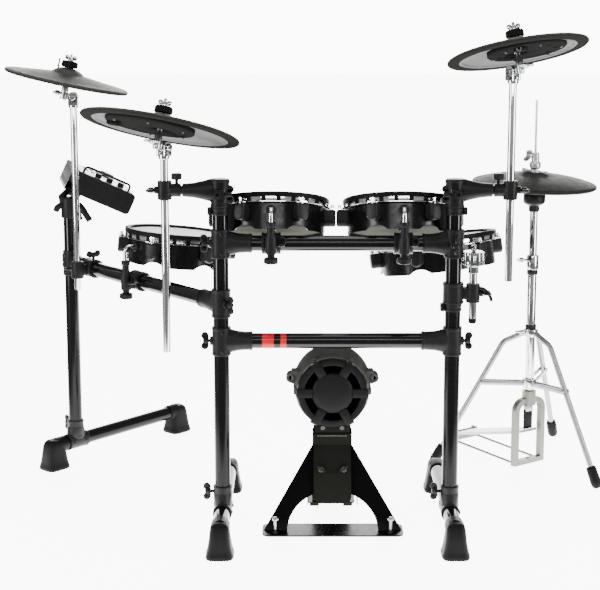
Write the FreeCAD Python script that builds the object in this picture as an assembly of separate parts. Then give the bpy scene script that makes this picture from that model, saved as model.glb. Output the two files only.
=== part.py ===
import FreeCAD, Part
import math
import os

# Electronic drum kit on a tube rack, in millimetres.
# +X runs along the crossbars to the hi-hat side, +Y points to the player, +Z is up.
# The origin is on the floor under the kick stand, midway between the two front posts.

# Fits
FIT = 0.15           # clearance of a tube in its clamp
RUN = 0.1            # radial clearance of a hinge pin
SEAT = 0.3           # gap between pieces of two bodies that meet
BOLT_R = 4.0         # shank of a wing bolt

# Rack tubes
TUBE_R = 19.05
TUBE_WALL = 1.6
POST_X = 281.5       # front posts stand at plus and minus this
POST_TOP = 885.0
UPPER_BAR_Z = 734.0
LOWER_BAR_Z = 493.0
SIDE_BAR_Z = 587.0
REAR_POST = (-739.0, 560.0)
REAR_POST_TOP = 768.0
BAR_GAP = 4.0        # a bar ends this far from the post that its joint holds

# Moulded rack joints
SLEEVE_R = 23.5
LOCK_R = 21.5
SLEEVE_H = 70.0
HORN_LEN = 76.0
HORN_TIP_R = 22.8
HORN_ROOT_X = 9.0

# Rack legs
LEG_Z = 64.0
LEG_FRONT = 143.0    # front foot ahead of the post
LEG_BACK = 322.0     # rear foot behind the post
REAR_LEG_HEADING = 48.4
REAR_LEG_FRONT = 80.0
REAR_LEG_BACK = 398.0
LEG_CLAMP_H = 62.0
FOOT_W = 62.0
FOOT_LEN = 76.0
FOOT_H = 84.0
FOOT_GRIP = 32.0     # length of tube held inside a foot

# Cymbal arms and tubes
ARM_Z = 863.0
ARM_HORN_LEN = 90.0
BOOM_SHOW = 43.0     # pole from the end of the horn
ARM_LEN = ARM_HORN_LEN + BOOM_SHOW
BOOM_R = 11.0
POLE_R = 9.5
POLE_WALL = 1.4
POLE_CLAMP_R = 17.0
POLE_CLAMP_H = 46.0
CRASH_REACH = 46.0   # left crash pole from the side bar
CRASH_ALONG = 115.0  # left crash clamp from the rear post

# Cymbal pads: radius, pole foot, tilt pivot, lean angle and the heading it leans to
CRASH_R = 167.0
RIDE_R = 192.0
BELL_R = 44.0
BELL_H = 15.0
BOW_H = 15.0
RIM_T = 10.0
RIM_W = 27.0
SKIN_T = 5.0
STEM_R = 4.0
STEM_HOLE_R = 5.5
ROCK_GAP = 0.5       # play of a cymbal pad on its seat
BELL_Z = 74.0        # top of the bell above the tilt pivot
KNUCKLE_W = 16.0
KNUCKLE_R = 14.0
EAR_T = 5.0
STEM_OFF = 25.0      # cymbal stem from the tilt pivot, on the raised side
STOPPER_R = 20.0
STOPPER_H = 23.0
HOUSE_SHARE = 0.56   # radius of the sensor housing in the pad's radius
HOUSE_SHIFT = 0.19   # its middle from the stem, likewise
PIN_R = 4.0

# Drum pads
TOM_HEAD_R = 127.0
SNARE_HEAD_R = 152.0
PAD_H = 90.0
PAD_WALL = 4.0
ROD_R = 6.0
ROD_DROP = 45.0      # rod axis below the top of the rim
ROD_GAP = 32.0       # rod's upright stretch in front of the shell
ROD_BEND = 15.0
LUG_W = 29.0
LUG_COUNT = 6
ARCH_R = 41.0
ARCH_H = 12.0
TOM_X = 159.0
TOM_LEAN = 16.0
TOM_TOP_Z = 823.0
FLOOR_TOM_ALONG = 0.51   # share of the side bar from the front post
FLOOR_TOM_TOP_Z = 710.0
CLAMP_REACH = 40.0   # rod from its bar
CLAMP_RING_R = 26.0
CLAMP_W = 46.0

# Snare
SNARE_XY = (275.0, 412.0)
SNARE_TOP_Z = 687.0
SNARE_LEAN = 9.9
SNARE_POST_R = 9.5
SNARE_BALL_R = 11.0
SNARE_ROD_LEN = 414.0    # ball from the middle of the drum
SNARE_ENTRY = 97.3       # heading of the drum's middle from the ball
SNARE_CLAMP_Z = 612.0
SNARE_POST_FOOT = 537.0

# Kick pad
KICK_X = -8.0
KICK_Z = 342.0
KICK_R = 94.0
KICK_FLARE = 9.0     # growth of its radius towards the player
KICK_FRONT_Y = 62.0
KICK_DEPTH = 78.0
SHEET = 4.0
NECK_TOP_W = 50.0
STAND_W = 176.0
ARCH_HALF = 114.0    # half width of the arch at the floor
ARCH_RISE = 0.47     # its height in the length of the slope
TONGUE_SHARE = 0.61  # the front plate's length, likewise
STAND_FRONT_Y = -25.0
STAND_BACK_Y = 56.0
LEGS_Y = 8.0         # where the legs meet the base strip
ANCHOR_X = 143.0
ANCHOR_Y = -10.0
ANCHOR_H = 46.0
PEDAL_PLATE_Y = 186.0

# Sound module
MODULE_D = 194.0
MODULE_W = 259.0
MODULE_H = 62.0
MODULE_TOP_T = 12.0
MODULE_YAW = 13.0
MODULE_SLOPE = 25.0
MODULE_HINGE = (-731.0, 616.0, 772.0)
DIAL_R = 22.0

# Hi-hat stand
HAT_XY = (568.0, 546.0)
HAT_R = 173.0
HAT_Z = 811.0        # rim of the hi-hat pad
HAT_LEAN = (3.5, -1.8)   # lean of the pad to +X and +Y in degrees
HAT_BELL = 9.0
HAT_BOW = 30.0
HAT_HEADING = 124.0  # the pedal's heel, seen from the post
HAT_LOWER_R = 12.7
HAT_UPPER_R = 11.0
HAT_SPLIT_Z = 612.0
HAT_SEAT_Z = 749.0
HAT_ROD_R = 3.5
HAT_ROD_TOP = 1047.0
HAT_LEG_R = 278.0
HAT_COLLAR_Z = 388.0
HAT_BEND_OUT = 100.0 # where a leg turns down, from the post
HAT_BRACE_Z = 239.0
HAT_KNEE = 0.35      # share of the leg above its brace
LOOP_HALF = 57.0     # cast loop, half width
LOOP_TOP = 196.0
LOOP_BAR = 15.0
PEDAL_HEEL = 285.0
PEDAL_TOE = -8.0
PEDAL_TOE_Z = 100.0
PEDAL_W = 82.0
PEDAL_HINGE_Z = 20.0


def vec(x, y, z=0.0):
    return FreeCAD.Vector(x, y, z)


ORIGIN = vec(0, 0, 0)
UP = vec(0, 0, 1)


def heading(degrees):
    """Level unit vector, counted from +X towards +Y."""
    return vec(math.cos(math.radians(degrees)), math.sin(math.radians(degrees)))


def rod(start, end, radius):
    return Part.makeCylinder(radius, (end - start).Length, start, end - start)


def pipe(start, end, radius, wall):
    return rod(start, end, radius).cut(rod(start, end, radius - wall))


def block(x0, x1, y0, y1, z0, z1):
    return Part.makeBox(x1 - x0, y1 - y0, z1 - z0, vec(x0, y0, z0))


def disc(radius, z0, z1, x=0.0, y=0.0):
    return rod(vec(x, y, z0), vec(x, y, z1), radius)


def spin(profile):
    """Solid of revolution about Z from (radius, height) corners."""
    corners = [vec(r, 0, z) for r, z in profile]
    face = Part.Face(Part.makePolygon(corners + corners[:1]))
    solid = face.revolve(ORIGIN, UP, 360)
    return Part.makeSolid(solid) if solid.ShapeType == "Shell" else solid


def prism(corners, depth):
    """Plate from corners in the XZ plane, thick along +Y."""
    points = [vec(x, 0, z) for x, z in corners]
    return Part.Face(Part.makePolygon(points + points[:1])).extrude(vec(0, depth, 0))


def upright_edges(solid):
    return [e for e in solid.Edges if abs(e.tangentAt(e.FirstParameter).z) > 0.9]


def join(shapes):
    whole = shapes[0].multiFuse(shapes[1:]) if len(shapes) > 1 else shapes[0]
    return whole.removeSplitter()


def seat(origin, yaw=0.0, lean=0.0):
    """Placement that leans +Z towards +Y, then turns about Z and moves to origin."""
    turn = FreeCAD.Rotation(UP, yaw).multiply(FreeCAD.Rotation(vec(1, 0, 0), -lean))
    return FreeCAD.Placement(origin, turn)


def put(shape, place):
    moved = shape.copy()
    moved.Placement = place.multiply(moved.Placement)
    return moved


def yaw_of(direction):
    """Turn about Z that brings +Y onto a level direction."""
    return math.degrees(math.atan2(-direction.x, direction.y))


def bent_rod(start, corner, along, reach, radius, bend):
    """Rod from start to a corner, round it, and on for reach in direction along."""
    first = (corner - start).normalize()
    half = math.acos(max(-1.0, min(1.0, first.dot(along)))) / 2
    tangent = bend * math.tan(half)
    inward = (along - first).normalize()
    middle = corner + inward * (bend / math.cos(half) - bend)
    t1, t2 = corner - first * tangent, corner + along * tangent
    edges = [Part.LineSegment(start, t1).toShape(), Part.Arc(t1, middle, t2).toShape(),
             Part.LineSegment(t2, corner + along * reach).toShape()]
    ring = Part.Wire(Part.makeCircle(radius, start, first))
    return Part.Wire(edges).makePipeShell([ring], True, False)


def ellipse_wire(x, half_y, half_z):
    curve = Part.Ellipse(vec(x, 0, half_z), vec(x, half_y, 0), vec(x, 0, 0))
    return Part.Wire(curve.toShape())


def circle_wire(x, radius):
    return Part.Wire(Part.makeCircle(radius, vec(x, 0, 0), vec(1, 0, 0)))


def rounded_wire(width, length, y, z, radius):
    """Level rounded rectangle centred on x = 0."""
    plate = block(-width / 2, width / 2, y - length / 2, y + length / 2, z, z + 1)
    rounded = plate.makeFillet(radius, upright_edges(plate))
    return [f for f in rounded.Faces if abs(f.CenterOfMass.z - z) < 0.01][0].OuterWire


def wing_bolt(length):
    """Wing bolt along +X: its shank starts at the origin and its wings at length."""
    wing = 13.0
    hub = rod(vec(length, 0, 0), vec(length + 12, 0, 0), 6.5)
    lobes = [rod(vec(length + 9, -2.5, side * wing), vec(length + 9, 2.5, side * wing), 8.0)
             for side in (-1, 1)]
    web = block(length + 2, length + 12, -2.5, 2.5, -wing, wing)
    return join([rod(ORIGIN, vec(length + 1, 0, 0), BOLT_R), hub, web] + lobes)


# Rack frame

FRONT_LEFT = vec(-POST_X, 0)
FRONT_RIGHT = vec(POST_X, 0)
REAR = vec(*REAR_POST)
SIDE_DIR = (REAR - FRONT_LEFT).normalize()
REAR_LEG_DIR = heading(REAR_LEG_HEADING)
POST_FOOT_Z = LEG_Z + TUBE_R + 3.0


def at(xy, z):
    return vec(xy.x, xy.y, z)


def rack_tubes():
    posts = [pipe(at(xy, POST_FOOT_Z), at(xy, top), TUBE_R, TUBE_WALL)
             for xy, top in ((FRONT_LEFT, POST_TOP), (FRONT_RIGHT, POST_TOP), (REAR, REAR_POST_TOP))]
    start = TUBE_R + BAR_GAP
    bars = {}
    for name, z in (("upper_crossbar", UPPER_BAR_Z), ("lower_crossbar", LOWER_BAR_Z)):
        bars[name] = [pipe(vec(start - POST_X, 0, z), vec(POST_X - start, 0, z), TUBE_R, TUBE_WALL)]
    bars["side_bar"] = [pipe(at(FRONT_LEFT + SIDE_DIR * start, SIDE_BAR_Z),
                             at(REAR - SIDE_DIR * start, SIDE_BAR_Z), TUBE_R, TUBE_WALL)]
    return {"rack_posts": posts, **bars}


def tee(bolt_side):
    """Joint on a post at the origin, with its horn along +X and its bolt boss at a heading."""
    sleeve = disc(SLEEVE_R, -SLEEVE_H / 2, SLEEVE_H / 2)
    horn = Part.makeLoft([ellipse_wire(HORN_ROOT_X, SLEEVE_R - 0.5, SLEEVE_H / 2 - 3),
                          circle_wire(HORN_LEN, HORN_TIP_R)], True)
    side = heading(bolt_side)
    pad = rod(side * (SLEEVE_R + 5), ORIGIN, 11.0)
    bore = disc(TUBE_R + FIT, -SLEEVE_H, SLEEVE_H)
    socket = rod(vec(TUBE_R + BAR_GAP - 0.5, 0, 0), vec(HORN_LEN + 1, 0, 0), TUBE_R + FIT)
    hole = rod(side * (SLEEVE_R + 6), ORIGIN, BOLT_R + FIT)
    return join([sleeve, horn, pad]).cut(bore.multiFuse([socket, hole]))


def sleeve_bolt(side):
    """Wing bolt that holds a sleeve on its post, at a heading."""
    bolt = wing_bolt(SLEEVE_R - TUBE_R + 7).translated(vec(TUBE_R + 1, 0, 0))
    bolt.rotate(ORIGIN, UP, side)
    return bolt


def leg_clamp():
    """Joint that holds a post's foot over a leg tube along +X."""
    top = LEG_Z + LEG_CLAMP_H
    upright = disc(SLEEVE_R, LEG_Z, top)
    cradle = rod(vec(-34, 0, LEG_Z), vec(34, 0, LEG_Z), SLEEVE_R)
    web = Part.makeLoft([rounded_wire(46, 64, 0, LEG_Z, 6), rounded_wire(46, 46, 0, top - 18, 6)], True)
    web.rotate(ORIGIN, UP, 90)
    bore = disc(TUBE_R + FIT, POST_FOOT_Z - 0.5, top + 1)
    tunnel = rod(vec(-40, 0, LEG_Z), vec(40, 0, LEG_Z), TUBE_R + FIT)
    hole = rod(vec(0, 0, top - 16), vec(0, 40, top - 16), BOLT_R + FIT)
    return join([upright, cradle, web]).cut(bore.multiFuse([tunnel, hole]))


def foot():
    """Rubber boot on the end of a leg tube that comes in along +X from the left."""
    shape = Part.makeLoft([rounded_wire(FOOT_LEN, FOOT_W, 0, 0, 18),
                           rounded_wire(FOOT_LEN - 14, FOOT_W - 10, 0, FOOT_H * 0.4, 17),
                           rounded_wire(FOOT_LEN - 30, FOOT_W - 18, 0, FOOT_H, 16)], True, True)
    grip = FOOT_GRIP - FOOT_LEN / 2 + 9
    shape = shape.fuse(rod(vec(-FOOT_LEN / 2, 0, LEG_Z), vec(0, 0, LEG_Z), TUBE_R + 4))
    return shape.cut(rod(vec(-FOOT_LEN, 0, LEG_Z), vec(grip, 0, LEG_Z), TUBE_R + FIT))


LEGS = [(FRONT_LEFT, vec(0, 1), LEG_FRONT, LEG_BACK), (FRONT_RIGHT, vec(0, 1), LEG_FRONT, LEG_BACK),
        (REAR, REAR_LEG_DIR, REAR_LEG_FRONT, REAR_LEG_BACK)]
# Post, height, horn direction and bolt heading from the horn
TEES = [(FRONT_LEFT, UPPER_BAR_Z, vec(1, 0), 180), (FRONT_RIGHT, UPPER_BAR_Z, vec(-1, 0), 90),
        (FRONT_LEFT, LOWER_BAR_Z, vec(1, 0), 180), (FRONT_RIGHT, LOWER_BAR_Z, vec(-1, 0), 180),
        (FRONT_LEFT, SIDE_BAR_Z, SIDE_DIR, 180), (REAR, SIDE_BAR_Z, SIDE_DIR * -1, 180)]


def turned(direction):
    return yaw_of(direction) + 90.0


def rack_base():
    joints, tubes, feet, bolts = [], [], [], []
    for post, z, direction, bolt_side in TEES:
        place = seat(at(post, z), turned(direction))
        joints.append(put(tee(bolt_side), place))
        bolts.append(put(sleeve_bolt(bolt_side), place))
    inset = FOOT_GRIP - FOOT_LEN / 2 + 8
    for post, along, front, back in LEGS:
        joints.append(put(leg_clamp(), seat(post, turned(along))))
        tubes.append(pipe(at(post - along * (front + inset), LEG_Z), at(post + along * (back + inset), LEG_Z),
                          TUBE_R, TUBE_WALL))
        feet.append(put(foot(), seat(post - along * front, turned(along * -1))))
        feet.append(put(foot(), seat(post + along * back, turned(along))))
        bolt = wing_bolt(SLEEVE_R - TUBE_R + 6)
        bolt.rotate(ORIGIN, UP, 90)
        bolts.append(put(bolt, seat(at(post, LEG_Z + LEG_CLAMP_H - 16), turned(along)).multiply(
            FreeCAD.Placement(vec(0, TUBE_R + 1, 0), FreeCAD.Rotation()))))
    return {"rack_joints": joints, "leg_tubes": tubes, "leg_feet": feet, "rack_wing_bolts": bolts}


def memory_lock(z):
    """Split stop collar on a post at the origin, with its bolt boss."""
    ring = disc(LOCK_R, z - 9, z + 9).fuse(block(-9, 9, -LOCK_R - 9, -TUBE_R - 1, z - 9, z + 9))
    return ring.cut(disc(TUBE_R + FIT, z - 20, z + 20)).cut(block(-1.2, 1.2, -60, -TUBE_R + 2, z - 20, z + 20))


def memory_locks():
    under_arm = ARM_Z - 41 - 9 - SEAT
    right_arm = put(memory_lock(under_arm), seat(FRONT_RIGHT, 90))
    left_arm = put(memory_lock(under_arm), seat(FRONT_LEFT, -90))
    under_snare = put(memory_lock(SNARE_CLAMP_Z - 26 - 9 - SEAT), seat(FRONT_RIGHT, 90))
    return {"memory_locks": [left_arm, right_arm, under_snare]}


# Cymbal arms and clamps

def pole_grip(reach, radius):
    """Barrel round an upright pole at reach, with the boss of its bolt along +X, and that bolt."""
    barrel = disc(POLE_CLAMP_R, -POLE_CLAMP_H / 2, POLE_CLAMP_H / 2, reach)
    boss_end = reach + POLE_CLAMP_R + 8
    grip = barrel.fuse(rod(vec(reach, 0, 0), vec(boss_end, 0, 0), 9.0))
    cuts = disc(radius + FIT, -POLE_CLAMP_H, POLE_CLAMP_H, reach).fuse(
        rod(vec(reach, 0, 0), vec(boss_end + 1, 0, 0), BOLT_R + FIT))
    start = reach + radius + 0.5
    bolt = wing_bolt(boss_end + 1.5 - start).translated(vec(start, 0, 0))
    return grip, cuts, bolt


def round_knob(x, z0):
    """Fluted knob on a stem that rises from a clamp."""
    knob = disc(13, z0 + 10, z0 + 25, x)
    flutes = [disc(2.6, z0 + 9, z0 + 26, x + 14 * math.cos(a), 14 * math.sin(a))
              for a in (k * math.pi / 4 for k in range(8))]
    return knob.cut(flutes[0].multiFuse(flutes[1:])).fuse(disc(4, z0, z0 + 11, x))


def cymbal_arm(bolt_side):
    """Swivel arm on a post at the origin, with its boom along +X at z = 0."""
    top = POST_TOP - ARM_Z
    crown_z = top + 6
    sleeve = disc(SLEEVE_R, -41, crown_z)
    sleeve = sleeve.makeFillet(4, [e for e in sleeve.Edges if abs(e.CenterOfMass.z - crown_z) < 0.1])
    horn = Part.makeLoft([ellipse_wire(HORN_ROOT_X, SLEEVE_R - 0.5, 31), circle_wire(ARM_HORN_LEN, 15.5)], True)
    side = heading(bolt_side)
    low = vec(0, 0, -18)
    pad = rod(low, low + side * (SLEEVE_R + 4), 10.0)
    casting = join([sleeve, horn, pad]).cut(disc(TUBE_R + FIT, -60, top + SEAT))
    casting = casting.cut(rod(low, low + side * (SLEEVE_R + 5), BOLT_R + FIT))
    casting = casting.cut(rod(vec(ARM_HORN_LEN - 24, 0, 0), vec(ARM_HORN_LEN + 1, 0, 0), BOOM_R + FIT))
    boom_end = ARM_LEN - POLE_CLAMP_R - 1
    boom = rod(vec(ARM_HORN_LEN - 23, 0, 0), vec(boom_end, 0, 0), BOOM_R)
    grip, cuts, bolt = pole_grip(ARM_LEN, POLE_R)
    collar = rod(vec(ARM_HORN_LEN + 4, 0, 0), vec(ARM_LEN - 6, 0, 0), BOOM_R + 5)
    knob_x = ARM_HORN_LEN + 14
    clamp = join([grip, collar]).cut(cuts.multiFuse([rod(ORIGIN, vec(boom_end + 0.2, 0, 0), BOOM_R + FIT),
                                                     disc(4.2, 0, 40, knob_x)]))
    knob = round_knob(knob_x, BOOM_R + 5 - 0.2)
    return [casting, boom, clamp, knob, bolt, sleeve_bolt(bolt_side).translated(low)]


def side_crash_clamp():
    """Clamp on a bar along X that grips a pole in front of it, at y = -CRASH_REACH."""
    ring = rod(vec(-CLAMP_W / 2, 0, 0), vec(CLAMP_W / 2, 0, 0), CLAMP_RING_R)
    neck = block(-12, 12, -CRASH_REACH, 0, -14, 14)
    grip = disc(POLE_CLAMP_R, -POLE_CLAMP_H / 2, POLE_CLAMP_H / 2, 0, -CRASH_REACH)
    solid = join([ring, neck, grip]).cut(rod(vec(-60, 0, 0), vec(60, 0, 0), TUBE_R + FIT))
    return solid.cut(disc(POLE_R + FIT, -60, 60, 0, -CRASH_REACH))


CRASH_BASE = REAR - SIDE_DIR * CRASH_ALONG
BAR_OUT = vec(SIDE_DIR.y * -1, SIDE_DIR.x)     # level, away from the player's side of the side bar
BAR_SEAT_YAW = yaw_of(BAR_OUT * -1)            # turns -Y outwards
POLES = {"ride": at(FRONT_LEFT + vec(-ARM_LEN, 0), 0), "right_crash": at(FRONT_RIGHT + vec(ARM_LEN, 0), 0),
         "left_crash": CRASH_BASE + BAR_OUT * CRASH_REACH}


def cymbal_supports():
    left = [put(s, seat(at(FRONT_LEFT, ARM_Z), 180)) for s in cymbal_arm(135)]
    right = [put(s, seat(at(FRONT_RIGHT, ARM_Z))) for s in cymbal_arm(225)]
    clamp = put(side_crash_clamp(), seat(at(CRASH_BASE, SIDE_BAR_Z), BAR_SEAT_YAW))
    return {"ride_arm": left, "right_crash_arm": right, "left_crash_clamp": [clamp]}


# Cymbal pads

# Name: pad radius, pole foot, tilt pivot, lean to +X and lean to +Y in degrees
CYMBALS = {"ride": (RIDE_R, 465.0, 967.0, 10.5, 14.0),
           "left_crash": (CRASH_R, 532.0, 1061.0, 12.2, 0.5),
           "right_crash": (CRASH_R, 641.0, 1146.0, -8.7, 13.0)}


def cymbal_seat(name):
    """Placement at the tilt pivot, level with the pivot axis along local X, and the lean angle."""
    _, _, pivot, lean_x, lean_y = CYMBALS[name]
    tip = vec(math.tan(math.radians(lean_x)), math.tan(math.radians(lean_y)))
    return at(POLES[name], pivot), yaw_of(tip), math.degrees(math.atan(tip.Length))


def cymbal_pad(radius):
    """Rubber playing skin, its bell top BELL_Z above the pivot."""
    shoulder, edge = BELL_Z - BELL_H, BELL_Z - BELL_H - BOW_H
    return spin([(STEM_HOLE_R, BELL_Z), (16, BELL_Z - 0.5), (32, BELL_Z - 6), (BELL_R, shoulder),
                 (radius * 0.6, shoulder - BOW_H * 0.36), (radius - 5, edge), (radius, edge - 4),
                 (radius, edge - RIM_T + 2), (radius - 3, edge - RIM_T), (radius - RIM_W, edge - RIM_T),
                 (radius - RIM_W, edge - SKIN_T + 4), (BELL_R, shoulder - SKIN_T),
                 (32, BELL_Z - 6 - SKIN_T), (16, BELL_Z - SKIN_T), (STEM_HOLE_R, BELL_Z - SKIN_T)])


def cymbal_frame(radius):
    """Stiff tray under the skin, with the round sensor housing on its raised side."""
    shoulder, edge = BELL_Z - BELL_H, BELL_Z - BELL_H - BOW_H
    outer = radius - RIM_W - SEAT
    under = edge - SKIN_T + 4 - SEAT
    root = shoulder - SKIN_T - SEAT
    tray = spin([(24, root), (BELL_R, root), (outer, under), (outer, under - 7), (outer - 6, under - 7),
                 (outer - 9, under - 3), (BELL_R, root - 3), (24, root - 3)])
    house_r = radius * HOUSE_SHARE
    low = edge - RIM_T - 3
    housing = spin([(0, low), (house_r - 8, low), (house_r, low + 4), (house_r, root), (0, root)])
    jack = block(-13, 13, house_r - 40, house_r - 8, low - 8, low + 1).cut(
        rod(vec(0, house_r - 24, low - 3), vec(0, house_r, low - 3), 3.2))
    jack.rotate(ORIGIN, UP, 125)
    housing = join([housing, jack]).translated(vec(0, -radius * HOUSE_SHIFT, 0))
    above = spin([(0, root - 3), (BELL_R, root - 3), (outer - 9, under - 3), (outer - 9, root + 1),
                  (0, root + 1)])
    return [tray, housing.cut(above.fuse(disc(24, low - 9, root)))]


def tilter():
    """Tilter head about a pivot along X, with the stem, rubber stopper and wing nut beside it."""
    width = KNUCKLE_W / 2
    knuckle = rod(vec(-width, 0, 0), vec(width, 0, 0), KNUCKLE_R)
    bridge = block(-width, width, -STEM_OFF, 0, -0.6 * KNUCKLE_R, 0.6 * KNUCKLE_R)
    rest = BELL_Z - SKIN_T - ROCK_GAP
    neck = spin([(0, -12), (9.5, -12), (9.5, 22), (7, 26), (7, 38), (13, 44), (13, 54), (STEM_HOLE_R + 1, rest),
                 (STEM_R, rest), (STEM_R, BELL_Z + STOPPER_H + 23), (0, BELL_Z + STOPPER_H + 23)])
    beside = vec(0, -STEM_OFF, 0)
    head = join([knuckle, bridge, neck.translated(beside)]).cut(rod(vec(-20, 0, 0), vec(20, 0, 0), PIN_R + RUN))
    low, high = BELL_Z + 1.2, BELL_Z + STOPPER_H
    stopper = spin([(STEM_R + FIT, low), (STOPPER_R - 4, low), (STOPPER_R, low + 3), (STOPPER_R, high - 2),
                    (STOPPER_R - 2, high), (STEM_R + FIT, high)])
    nut = wing_bolt(0)
    nut.rotate(ORIGIN, vec(0, 1, 0), -90)
    nut = nut.translated(vec(0, 0, high + 0.1)).cut(disc(STEM_R + FIT, 0, high + 100))
    return [head, stopper.translated(beside), nut.translated(beside)]


def clevis():
    """Fork on top of a pole at the origin, with its pin along X."""
    inner = KNUCKLE_W / 2 + SEAT
    outer = inner + EAR_T
    ears = [rod(vec(s * inner, 0, 0), vec(s * outer, 0, 0), KNUCKLE_R) for s in (-1, 1)]
    ears += [block(min(s * inner, s * outer), max(s * inner, s * outer), -KNUCKLE_R, KNUCKLE_R, -20, 0)
             for s in (-1, 1)]
    base = disc(outer, -28, -KNUCKLE_R - 4)
    pin = rod(vec(-outer - 2, 0, 0), vec(outer + 9, 0, 0), PIN_R)
    lever = rod(vec(outer + 2, 0, 0), vec(outer + 9, 0, 0), 8.0)
    return join(ears + [base, pin, lever])


def cymbals():
    nodes = {}
    for name, (radius, foot_z, pivot_z, _, _) in CYMBALS.items():
        pivot, yaw, lean = cymbal_seat(name)
        tipped = seat(pivot, yaw, lean)
        pole = pipe(at(POLES[name], foot_z), at(POLES[name], pivot_z - 28), POLE_R, POLE_WALL)
        beside = FreeCAD.Placement(vec(0, -STEM_OFF, 0), FreeCAD.Rotation())
        nodes[name + "_pad"] = [put(cymbal_pad(radius), tipped.multiply(beside))]
        nodes[name + "_frame"] = [put(s, tipped.multiply(beside)) for s in cymbal_frame(radius)]
        nodes[name + "_tilter"] = [put(s, tipped) for s in tilter()]
        nodes[name + "_pole"] = [pole, put(clevis(), seat(pivot, yaw))]
    return nodes


# Drum pads, made about the middle of the rim's top, with the rod coming in along +Y

def pad_shell(head_r):
    outer = head_r + 4
    sensor_z, edge_z = -28.0, -9.2
    under_z = ARCH_H - PAD_H
    floor_z = under_z + PAD_WALL
    inner = outer - PAD_WALL
    body = spin([(0, sensor_z), (27, sensor_z), (34, floor_z), (inner, floor_z), (inner, edge_z),
                 (outer, edge_z), (outer, -PAD_H), (inner, -PAD_H), (inner, under_z), (0, under_z)])
    lugs, cuts = [], []
    lug_top, tip = -28.0, head_r + 31
    for k in range(LUG_COUNT):
        lug = join([block(inner + 2, tip, -LUG_W / 2, LUG_W / 2, lug_top - 26, lug_top),
                    rod(vec(inner + 2, 0, lug_top - 26), vec(tip, 0, lug_top - 26), LUG_W / 2)])
        lug = lug.makeFillet(5, [e for e in lug.Edges if all(abs(v.X - tip) < 0.01 for v in e.Vertexes)])
        lug = lug.cut(disc(3.0 + FIT, lug_top - 15, 0, tip - 8))
        lug.rotate(ORIGIN, UP, 360.0 / LUG_COUNT * k)
        lugs.append(lug)
    for k in range(LUG_COUNT // 2):
        axis_z = under_z - ARCH_R
        arch = rod(vec(-outer - 9, 0, axis_z), vec(outer + 9, 0, axis_z), ARCH_R)
        arch.rotate(ORIGIN, UP, 360.0 / LUG_COUNT * k)
        cuts.append(arch)
    boss = rod(vec(0, 40 - outer, -ROD_DROP), vec(0, 2 - outer, -ROD_DROP), ROD_R + 5)
    socket = rod(vec(0, -outer - 5, -ROD_DROP), vec(0, 32 - outer, -ROD_DROP), ROD_R + FIT)
    screw_y = 18 - outer
    hole = disc(3.5 + FIT, -80, -ROD_DROP, 0, screw_y)
    knob_z = 10 - PAD_H
    stem = disc(3.5, knob_z, -ROD_DROP - ROD_R - SEAT, 0, screw_y)
    knob = stem.fuse(spin([(0, knob_z - 12), (11, knob_z - 12), (13, knob_z - 9), (13, knob_z - 2), (10, knob_z),
                           (0, knob_z)]).translated(vec(0, screw_y, 0)))
    shell = join([body, boss] + lugs).cut(cuts[0].multiFuse(cuts[1:] + [socket, hole]))
    return [shell, knob.removeSplitter()]


def pad_head(head_r):
    """Mesh head on its flesh hoop, and the foam cone that carries the hits to the sensor."""
    inner = head_r + 4 + SEAT
    mesh = spin([(0, -9), (inner, -9), (inner, -24), (inner + 5, -24), (inner + 5, -18), (inner + 1.6, -18),
                 (inner + 1.6, -7.5), (0, -7.5)])
    cone = spin([(0, -28 + FIT), (26, -28 + FIT), (9, -9 - FIT), (0, -9 - FIT)])
    return [mesh, cone]


def pad_hoop(head_r):
    """Steel hoop with its ears, the rubber rim cover over it and the tension bolts."""
    wall = head_r + 10
    hoop = spin([(wall, -26), (wall + 9, -26), (wall + 9, -23.5), (wall + 2, -23.5), (wall + 2, -4),
                 (wall, -4)])
    bolt_r = head_r + 23
    ears, bolts, holes = [], [], []
    for k in range(LUG_COUNT):
        turn = 360.0 / LUG_COUNT * k
        ear = block(wall + 1, bolt_r + 8, -10, 10, -26, -23.5)
        bolt = disc(3.0, -41, -23, bolt_r).fuse(disc(5.5, -23.4, -14, bolt_r))
        for shape, group in ((ear, ears), (bolt, bolts), (disc(3.0 + FIT, -40, 0, bolt_r), holes)):
            shape.rotate(ORIGIN, UP, turn)
            group.append(shape)
    hoop = join([hoop] + ears).cut(holes[0].multiFuse(holes[1:]))
    cover = spin([(head_r + 2, -7.2), (wall - FIT, -7.2), (wall - FIT, -4 + FIT), (wall + 2 + FIT, -4 + FIT),
                  (wall + 2 + FIT, -12), (wall + 5.5, -12), (wall + 5.5, -3), (wall + 2, 0), (head_r + 5, 0),
                  (head_r + 2, -3)])
    return [hoop, cover] + [b.removeSplitter() for b in bolts]


def rod_clamp():
    """Clamp on a bar along X that holds an upright rod at y = -CLAMP_REACH, and its two screws."""
    ring = rod(vec(-CLAMP_W / 2, 0, 0), vec(CLAMP_W / 2, 0, 0), CLAMP_RING_R)
    neck = block(-13, 13, -CLAMP_REACH, 0, -16, 16)
    boss = spin([(0, -33), (9.5, -33), (9.5, -22), (13.5, -18), (13.5, 17), (11, 24), (9.5, 32), (9.5, 46),
                 (11.5, 48.5), (11.5, 58), (0, 58)])
    boss.translate(vec(0, -CLAMP_REACH, 0))
    solid = join([ring, neck, boss]).cut(rod(vec(-60, 0, 0), vec(60, 0, 0), TUBE_R + FIT))
    solid = solid.cut(disc(ROD_R + FIT, -60, 90, 0, -CLAMP_REACH))
    screw = spin([(0, -48), (15, -48), (17, -45), (17, -38), (9, -33.2), (0, -33.2)])
    screw.translate(vec(0, -CLAMP_REACH, 0))
    bolt = wing_bolt(2)
    bolt.translate(vec(13.1, -CLAMP_REACH + 12, 2))
    return [solid, screw, bolt]


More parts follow.
